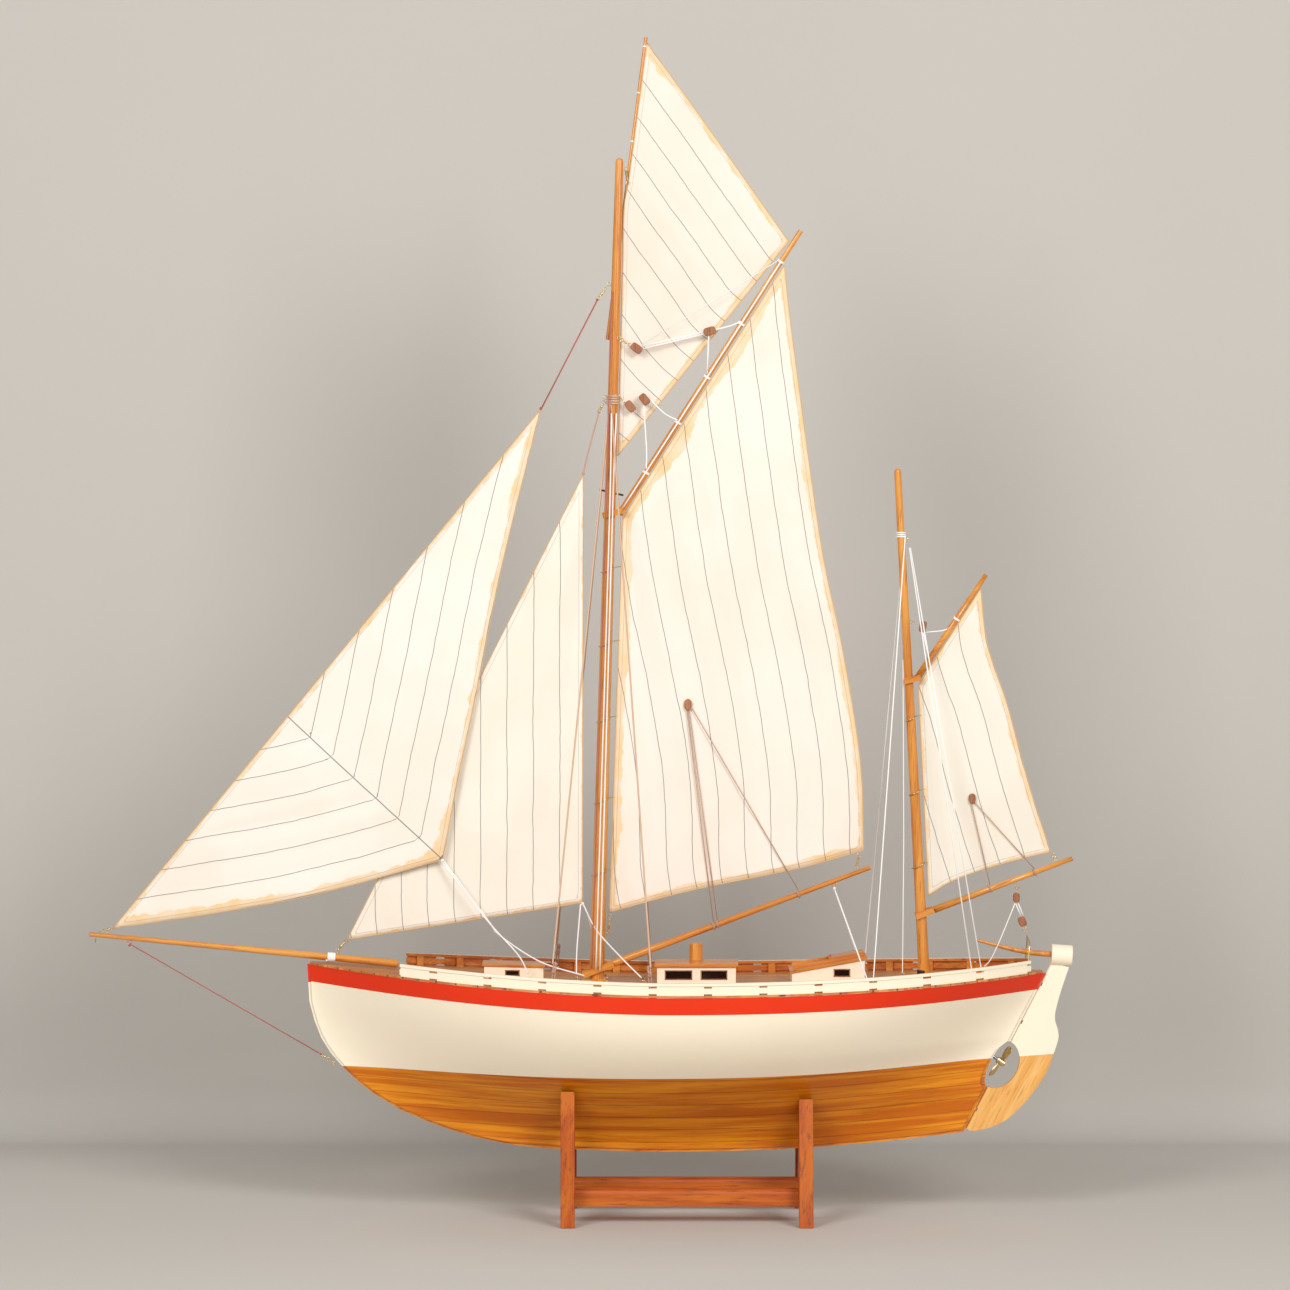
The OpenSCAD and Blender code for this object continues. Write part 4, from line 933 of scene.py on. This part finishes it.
mizzen = Sail(
    "mizzen_cloth", luff=[(348.5, 324), (343.2, 429), (338, 534)],
    leech=[(470.5, 367.5), (448.5, 436), (427, 515), (407, 576), (400, 631)],
    foot=[(372, 338), (404, 350), (442.5, 361)], head=[(369, 582.5)],
    base=(239, 231, 217), first=0.0, pitch=26.0, belly=2.0, seed=8, stains=(3, 5, 3, 3))
jib_sail = Sail(
    "jib_cloth", luff=[(-468.7, 290.7), (-254, 550.5), (-39.6, 810.4)],
    leech=[(-137.7, 360.2), (-121, 448), (-106, 518), (-76.6, 662), (-39.6, 810.4)],
    foot=[(-361.5, 307), (-261.5, 326)], head=[],
    base=(246, 237, 226), first=0.0, pitch=25.5, belly=3.0, seed=11, mitred=True, turn=(*JIB_LUFF, JIB_TWIST),
    stains=(3, 6, 8, 0))
stay_sail = Sail(
    "staysail_cloth", luff=[(-233.8, 279.6), (-115.4, 512.6), (2.9, 745.7)],
    leech=[(1.8, 316.6), (2.3, 531), (2.9, 745.7)], foot=[(-116, 298)], head=[],
    base=(244, 236, 222), first=23.0, pitch=26.4, belly=2.5, seed=14, stains=(1, 1, 2, 0))
main_sail.hang("main_sails", "mainsail")
top_sail.hang("main_sails", "topsail")
mizzen.hang("mizzen_sails", "mizzen_sail")


# ---- Headsail fittings
def about_luff(p):
    a, b = (Vector(q) for q in JIB_LUFF)
    return a + Matrix.Rotation(math.radians(JIB_TWIST), 3, b - a) @ (Vector(p) - a)


def tied_line(name, mat, body, node, path, r, *knots):
    """Cord along a path, with a knot at each (place, size)."""
    line = Shape()
    line.tube(path, r, sides=8)
    for place, size in knots:
        line.knot(place, size)
    line.make(name, mat, body, node)


brass = Shape()
brass.snap(about_luff((-478.4, 0, 288.6)), about_luff((-467.6, 0, 291.4)))
brass.snap(along(*JIB_LUFF, 0.976), along(*JIB_LUFF, 0.995))
brass.make("jib_snaps", "brass", "jib", "jib")
tied_line("jib_head_line", "pink_cord", "jib", "jib",
          [about_luff((-39.8, 0, 809.4)), along(*JIB_LUFF, 0.9775)],
          0.75, (about_luff((-39.6, 0, 811)), 1.4), (along(*JIB_LUFF, 0.976), 1.3))
jib_sail.hang("jib", "jib")
brass = Shape()
brass.snap((-245.6, 0, 266), (-233.6, 0, 280.4))
brass.snap(along(*STAY_LUFF, 0.973), along(*STAY_LUFF, 0.9946))
brass.make("staysail_snaps", "brass", "staysail", "staysail")
tied_line("staysail_head_line", "brown_cord", "staysail", "staysail",
          [(2.7, 0, 744.7), (6.5, 0, 762), along(*STAY_LUFF, 0.975)],
          0.75, ((2.9, 0, 746), 1.5), (along(*STAY_LUFF, 0.974), 1.3))
stay_sail.hang("staysail", "staysail")


# ---- Bow fittings, eyes and lanyards
brass = Shape()
brass.ring(moved(JIB_LUFF[0], dz=-1.6), 1.9, 0.8)
brass.ring(moved(STAY_LUFF[0], dz=1.6), 2.0, 0.8)
brass.tube([(-486, 0, 283.5), (-486, 0, 277)], 0.7)
brass.ring(on(SPRIT, -452, 0, 0, -4.2), 2.0, 0.8)
brass.make("bowsprit_eyes", "brass", "boat", "bowsprit_fittings")
lashing = Shape()
lashing.coil(on(SPRIT, -250), 4.1, 1.7, 5, 1.6, (-309.5, 0, 29.5))
lashing.make("bowsprit_lashing", "white_cord", "boat", "bowsprit_fittings")
tied_line("bobstay_line", "pink_cord", "boat", "bobstay", [(-452, 0, 275.4), (-262, 0, 165.5)],
          0.6, ((-452, 0, 273.8), 1.2), ((-260.6, 0, 164.7), 1.2))
brass = Shape()
brass.snap((-261.5, 0, 165.2), (-250, 0, 158))
brass.ring((-248, 0, 155.6), 1.6, 0.8)
brass.make("bobstay_snap", "brass", "boat", "bobstay")


def port_eye(z):
    """Centre of an eye on the port quarter of the main mast."""
    off = 0.7 * (main_r(z) + 1.4)
    return main_x(z) + off, -off, z


brass = Shape()
for c in (moved(STAY_LUFF[1], -0.6), moved(JIB_LUFF[1], -0.6), port_eye(881), port_eye(824),
          (mizzen_x(598) + mizzen_r(598) + 1.4, 0, 598), (mizzen_x(680) + mizzen_r(680) + 1.4, 0, 680)):
    brass.ring(c, 1.8, 0.8)
brass.make("mast_eyes", "brass", "boat", "mast_fittings")
collar, foot = Shape(), Vector(on_deck(mizzen_x(252), 0, 0.2))
r = mizzen_r(252)
collar.turned(foot, foot + Vector((-0.4, 0, 7)), [(0, r + 0.6), (0.1, r + 0.9), (0.9, r + 0.9), (1, r + 0.5)])
collar.make("mizzen_collar", "felt", "boat")
gaff_pin = Shape()
gaff_pin.turned((19, 0, 730), (43, 0, 724.4), [(0, 0.7), (0.05, 1.0), (0.95, 1.0), (1, 0.7)])
gaff_pin.make("gaff_pin", "felt", "boat", "mast_fittings", slot="brass")
lanyards, thimbles = Shape(), Shape()
for side in (-1, 1):
    for x, y in ((-26, 101), (70, 104)):
        a, b = Vector(on_deck(x, side * y, 5)), Vector(on_deck(x, side * y, 26))
        b = a + ((Vector((30, 0, 825)) - b).normalized() * (b - a).length)
        for s in (-1, 1):
            lanyards.tube([moved(a, s * 1.3), moved(b, s * 1.1)], 0.8, sides=8)
        lanyards.coil(moved((a + b) / 2, dz=3), 1.9, 1.1, 4, 1.2, b - a)
        lanyards.knot(b, 2.0)
        thimbles.ball(moved(a, dz=1.2), 1.9)
lanyards.make("lanyards", "brown_cord", "boat", "shroud_lanyards")
thimbles.make("chain_eyes", "brass", "boat", "shroud_lanyards")


# ---- Main sail's tackle
side_y = -6.2  # the tackle hangs this far to port
blocks, white, brown, brass = Shape(), Shape(), Shape(), Shape()
for x, z, lean in ((56, 871, 126), (49.7, 813, 142), (129, 888, 75), (64, 820, 142)):
    blocks.block((x, side_y, z), 12, 8, 4.6, lean)
brail_y = main_sail.near(107.5, 515).y - 2.4
blocks.block((107.5, brail_y, 515), 10.5, 6.4, 3.4, 0)
for path in (
        [(61.4, side_y, 873), (123.5, side_y, 887.3)],
        [(61, side_y, 870), (123.6, side_y, 885.3)],
        [(134.6, side_y, 889.4), (150, side_y + 2, 893.5), on(GAFF, 160.5, 0, -1.8, 2.5)],
        [(128, side_y, 883.6), on(GAFF, 126.5, 0, -1.8, 2.6)],
        [(69.6, side_y, 820), (84, side_y + 2, 806), on(GAFF, 97.5, 0, -1.8, 2.4)],
        [(63, side_y, 816), (66, side_y + 2, 770), on(GAFF, 65.6, 0, -1.8, 2.2)],
        [moved(GAFF[0], 3, -4.4, 6), on(GAFF, 120, 0, -4.2), on(GAFF, 200, 0, -3.6)]):
    white.tube(path, 0.7)
white.tube([(61.5, side_y, 874.6), on(GAFF, 200, -1, -4.6, 2.4)], 0.4)
for z in (1077.5, 1126, 1172):
    white.coil(along(*YARD, (z - YARD[0][2]) / (YARD[1][2] - YARD[0][2])), 2.4, 0.8, 2, 0.9, way(YARD))
for x in (65.6, 97.5, 126.5, 160.5, 200):
    white.coil(on(GAFF, x), 3.6, 1.1, 2.4, 1.2, way(GAFF))
for start, x, drop in ((106.3, 133, 509.6), (108.7, 137, 509.6), (111.4, 218, 511.6)):
    end = on(BOOM, x, 0, -1, 4.4)
    brown.tube([(start, brail_y, drop), end], 0.5, sides=8)
    brown.coil(on(BOOM, x), 4.1, 0.9, 1.6, 1.0, way(BOOM))
brown.ring((107.5, brail_y, 515), 3.7, 0.8, (0, 1, 0), oval=1.5)
brass.snap(moved(port_eye(881), 1.2, -1.2, -0.8), (51.2, side_y, 873.2))
brass.tube([moved(port_eye(824), 1.2, -1.2, -1.4), (47, side_y, 814)], 0.5)
brass.snap((27.6, 0, 283), (29.2, 0, 305))
blocks.make("gaff_blocks", "block", "main_sails", "main_blocks")
white.make("gaff_tackle", "white_cord", "main_sails", "main_blocks")
brown.make("brails", "brown_cord", "main_sails", "main_blocks")
brass.make("gaff_snaps", "brass", "main_sails", "main_blocks")


# ---- Mizzen spars and tackle
spars, blocks, white, brown, brass = Shape(), Shape(), Shape(), Shape(), Shape()
spars.tube([moved(M_BOOM[0], 3.4, dz=1.3), M_BOOM[1]], 3.5, 2.3, sides=20)
spars.tube([moved(M_GAFF[0], 2.6, dz=4), M_GAFF[1]], 3.5, 2.4, sides=20)
boom_way = way(M_BOOM)
gaff_way = swing(Vector((1, 0, 0)), Vector((0, 0, 1)), math.radians(12))
for centre, jaw, reach, r in (((mizzen_x(305.5) + 3.5, 0, 306.4), boom_way, 19, mizzen_r(306)),
                              ((mizzen_x(540) + 3.5, 0, 540.5), gaff_way, 17, mizzen_r(540))):
    for s in (-1, 1):
        spars.box(moved(centre, dy=s * (r + 1.8)), (reach, 2.4, 6), (jaw, (0, 1, 0), jaw.cross((0, 1, 0))))
    pin = Vector(centre) + jaw * 6
    spars.tube([moved(pin, dy=-r - 2), moved(pin, dy=r + 2)], 1.5)
blocks.block((342.4, 0, 593), 11.5, 7, 4.4, 10)
m_brail = mizzen.near(392, 421).y - 2.2
blocks.block((392, m_brail, 421), 9.5, 6, 3, 0)
blocks.block((436.5, 0, 321.6), 9, 6.6, 4.4, 0)
brass.ring((437, 0, 332.2), 1.8, 0.8)
brass.ring((436.5, 0, 327.6), 1.6, 0.8, (1, 0, 0))
brass.snap(on(M_BOOM, 476, 0, 0, 3.9), (472, 0, 366.5))
white.tube([(345, 0, 587.4), (365, -1, 590), (376, -1.6, 598)], 0.6)
white.tube([(342.6, -1.8, 587.2), (348, -3.8, 562)], 0.6)
white.coil(on(M_GAFF, 376), 3.4, 1.0, 2.4, 1.1, way(M_GAFF))
brown.tube([(391, m_brail, 416), on(M_BOOM, 410, 0, -1, 3.9)], 0.5, sides=8)
brown.tube([(394.6, m_brail, 417), on(M_BOOM, 454.5, 0, -1, 3.7)], 0.5, sides=8)
brown.ring((392, m_brail, 421), 3.4, 0.7, (0, 1, 0), oval=1.45)
for x in (410, 454.5):
    brown.coil(on(M_BOOM, x), 3.6, 0.9, 1.6, 1.0, boom_way)
spars.make("mizzen_boom_gaff", "boom", "mizzen_sails", "mizzen_spars")
blocks.make("mizzen_blocks", "block", "mizzen_sails", "mizzen_spars")
white.make("mizzen_halyards", "white_cord", "mizzen_sails", "mizzen_spars")
brown.make("mizzen_brails", "brown_cord", "mizzen_sails", "mizzen_spars")
brass.make("mizzen_brass", "brass", "mizzen_sails", "mizzen_spars")


# ---- Lines that cross a joint
def by_main_mast(*points):
    """Points beside the main mast, their x counted from its middle."""
    return [(main_x(z) + x, y, z) for x, y, z in points]


def bent_lines(name, body, start, end, node, r, paths, *knots, steps=6):
    """White cords along fixed paths, with a knot at each (place, size), baked in place and attached to no body;
    body, start and end are not used.
    """
    lines = Shape()
    for path in paths:
        lines.tube(path, r, steps=steps)
    for place, size in knots:
        lines.knot(place, size)
    obj = lines.mesh(name, "white_cord")
    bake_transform(obj)
    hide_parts(node)


bent_lines("main_falls", "main_sails", (36, 0, 740), (38, 0, 806), "running_lines", 0.7, [
    by_main_mast((4, -7.4, 806), (3, -11.6, 700), (3, -14, 250)),
    by_main_mast((-1, -8, 806), (0, -12, 700), (-1, -14.6, 252))], steps=24)
halyard = Shape()
halyard.tube([(main_x(930) - 4, -6.6, 928), *by_main_mast((-3.6, -12.6, 700), (-5, -15.4, 252))], 0.6, steps=24)
halyard.make("jib_halyard", "pink_cord", "boat", "running_lines")
lifts = Shape()
for dx, y, foot in ((7.6, -2, on_deck(388, -57, 8)), (8.6, -1, on_deck(398, -50, 8))):
    lifts.tube([(mizzen_x(672) + dx, y, 672), foot], 0.65, sides=8)
    lifts.knot(foot, 1.3)
lifts.make("mizzen_lifts", "white_cord", "boat", "running_lines")

feet = [on_deck(284, s * 80, 6) for s in (-1, 1)]
heads = [on(BOOM, 253.8, 0.4, s * 1.2, -8) for s in (-1, 1)]
bent_lines("main_sheet", "main_sails", on_deck(284, 0, 6), on(BOOM, 253.8, 0, 0, -8), "sheets", 0.72,
           [[head, along(head, foot, 0.5), foot] for head, foot in zip(heads, feet)],
           *((foot, 1.3) for foot in feet), (on(BOOM, 253.8, 0.4, 0, -7.4), 1.4), steps=16)
bent_lines("mizzen_sheet", "mizzen_sails", (436, 0, 298), (436, 0, 316), "sheets", 0.55, [
    [(435.8, -0.6, 315.6), (441, -0.6, 303.2)], [(438.4, 0.6, 315.8), (443.6, 0.6, 303)],
    [(435, -1, 316), (430.5, -2, 305), (418, -3, 275), (410, -3, 259), (404, -2, 252.6)]])
bent_lines("jib_sheets", "jib", (-92, 0, 290), (-136, 0, 356), "sheets", 0.72, [
    [(-136.2, -8.8, 358.4), (-93, -14, 301), (-80, -18, 285), (-40, -28, 260), (4, -33, 246.4)],
    [(-137.8, -9.4, 357.4), (-92, -24, 300), (-62, -36, 268), (-51.5, -39.6, 249)]],
           (about_luff((-138, 0, 359.6)), 1.6), steps=8)
bent_lines("staysail_sheets", "staysail", (8, 0, 285), (2, 0, 314), "sheets", 0.7, [
    [(2.6, 0, 315), (16, -10.5, 290), (42, -20, 262), (61, -29, 244)],
    [(2.8, 0, 313.6), (8, 16, 300), (16, 24, 262), (18.6, 25, 246)],
    [(0, -2.2, 315), (-3.6, -12, 270), (-4, -14, 246)]], ((1.8, 0, 315.6), 1.6), steps=8)
blocks, brass = Shape(), Shape()
blocks.block((442.4, 0, 297.6), 9.5, 7.6, 4.4, -20)
blocks.make("horse_block", "block", "boat", "sheets")
brass.ring((445.4, 0, 289.4), 2.2, 1.0)
brass.make("horse_ring", "brass", "boat", "sheets")


# ---- Window frames
frames = Shape()
for x0, x1, z0, z1, half in ((-74.5, -61, 245.5, 250.5, 21), (84.8, 111, 242, 250.5, 24),
                             (120.5, 146, 242, 250.5, 24), (253, 268.5, 245, 252, 25)):
    for s in (-1, 1):
        for z in (z0, z1):
            frames.box(((x0 + x1) / 2, s * half, z), (x1 - x0 + 1.2, 1.0, 1.0))
        for x in (x0, x1):
            frames.box((x, s * half, (z0 + z1) / 2), (1.0, 1.0, z1 - z0))
frames.make("window_frames", "block", "boat")


# ---- Room, lights and camera
def room():
    """Floor and wall in one sheet with a soft corner, and the wall can be looked through from behind."""
    g = Graph("room paint", 0.85)
    p = g.coords()
    g.set("Base Color", g.mix(g.noise(p, 2.0, 2), rgb(198, 194, 188), rgb(203, 199, 193)))
    g.bump(g.noise(p, 60, 3), 0.05, 0.001)
    g.set("Alpha", g.sub(1.0, g.geometry("Backfacing")))
    half, front, wall, height, bend, sunk = 9, -6, 0.6, 3.5, 0.06, -0.0005
    profile = [(front, 0)] + [(wall - bend + bend * math.sin(t), bend - bend * math.cos(t))
                              for t in (math.pi / 2 * k / 8 for k in range(9))] + [(wall, height)]
    behind = [(wall - bend, sunk), (-front, sunk)]
    rows = [i for i in range(len(profile) + 1) if i != len(profile) - 1]
    mesh = bpy.data.meshes.new("room")
    mesh.from_pydata([(x, y, z) for y, z in profile + behind for x in (-half, half)], [],
                     [(2 * i, 2 * i + 1, 2 * i + 3, 2 * i + 2) for i in rows])
    for polygon in mesh.polygons:
        polygon.use_smooth = True
    mesh.materials.append(g.material)
    obj = bpy.data.objects.new("room", mesh)
    bpy.context.scene.collection.objects.link(obj)
    return obj


def softbox(name, place, power):
    """Warm square light that faces the middle of the sails."""
    data = bpy.data.lights.new(name, "AREA")
    data.shape = "RECTANGLE"
    data.size = data.size_y = 1.2
    data.energy = power
    data.color = (1, 0.985, 0.965)
    obj = bpy.data.objects.new(name, data)
    obj.location = place
    obj.rotation_euler = (Vector((0, 0.1, 0.5)) - Vector(place)).to_track_quat("-Z", "Y").to_euler()
    bpy.context.scene.collection.objects.link(obj)
    return obj


room()
softbox("left softbox", (-1.45, -2.9, 2.0), 58)
softbox("right softbox", (1.6, -2.85, 1.9), 64)
world = bpy.data.worlds.new("room light")
world.use_nodes = True
sky = world.node_tree.nodes["Background"]
sky.inputs["Color"].default_value = (1, 1, 1, 1)
sky.inputs["Strength"].default_value = 0.31
scene = bpy.context.scene
scene.world = world
scene.view_settings.view_transform = "Standard"
scene.view_settings.look = "None"
camera = bpy.data.cameras.new("camera")
camera.sensor_width = 36
camera.lens = 4500 / 1290 * camera.sensor_width  # the frame takes in 1290 mm at 4.5 m
camera.clip_end = 50
view = bpy.data.objects.new("camera", camera)
view.location = (0.0645, -4.5, 0.680)
view.rotation_euler = (math.radians(90 - 1.34), 0, 0)
scene.collection.objects.link(view)
scene.camera = view
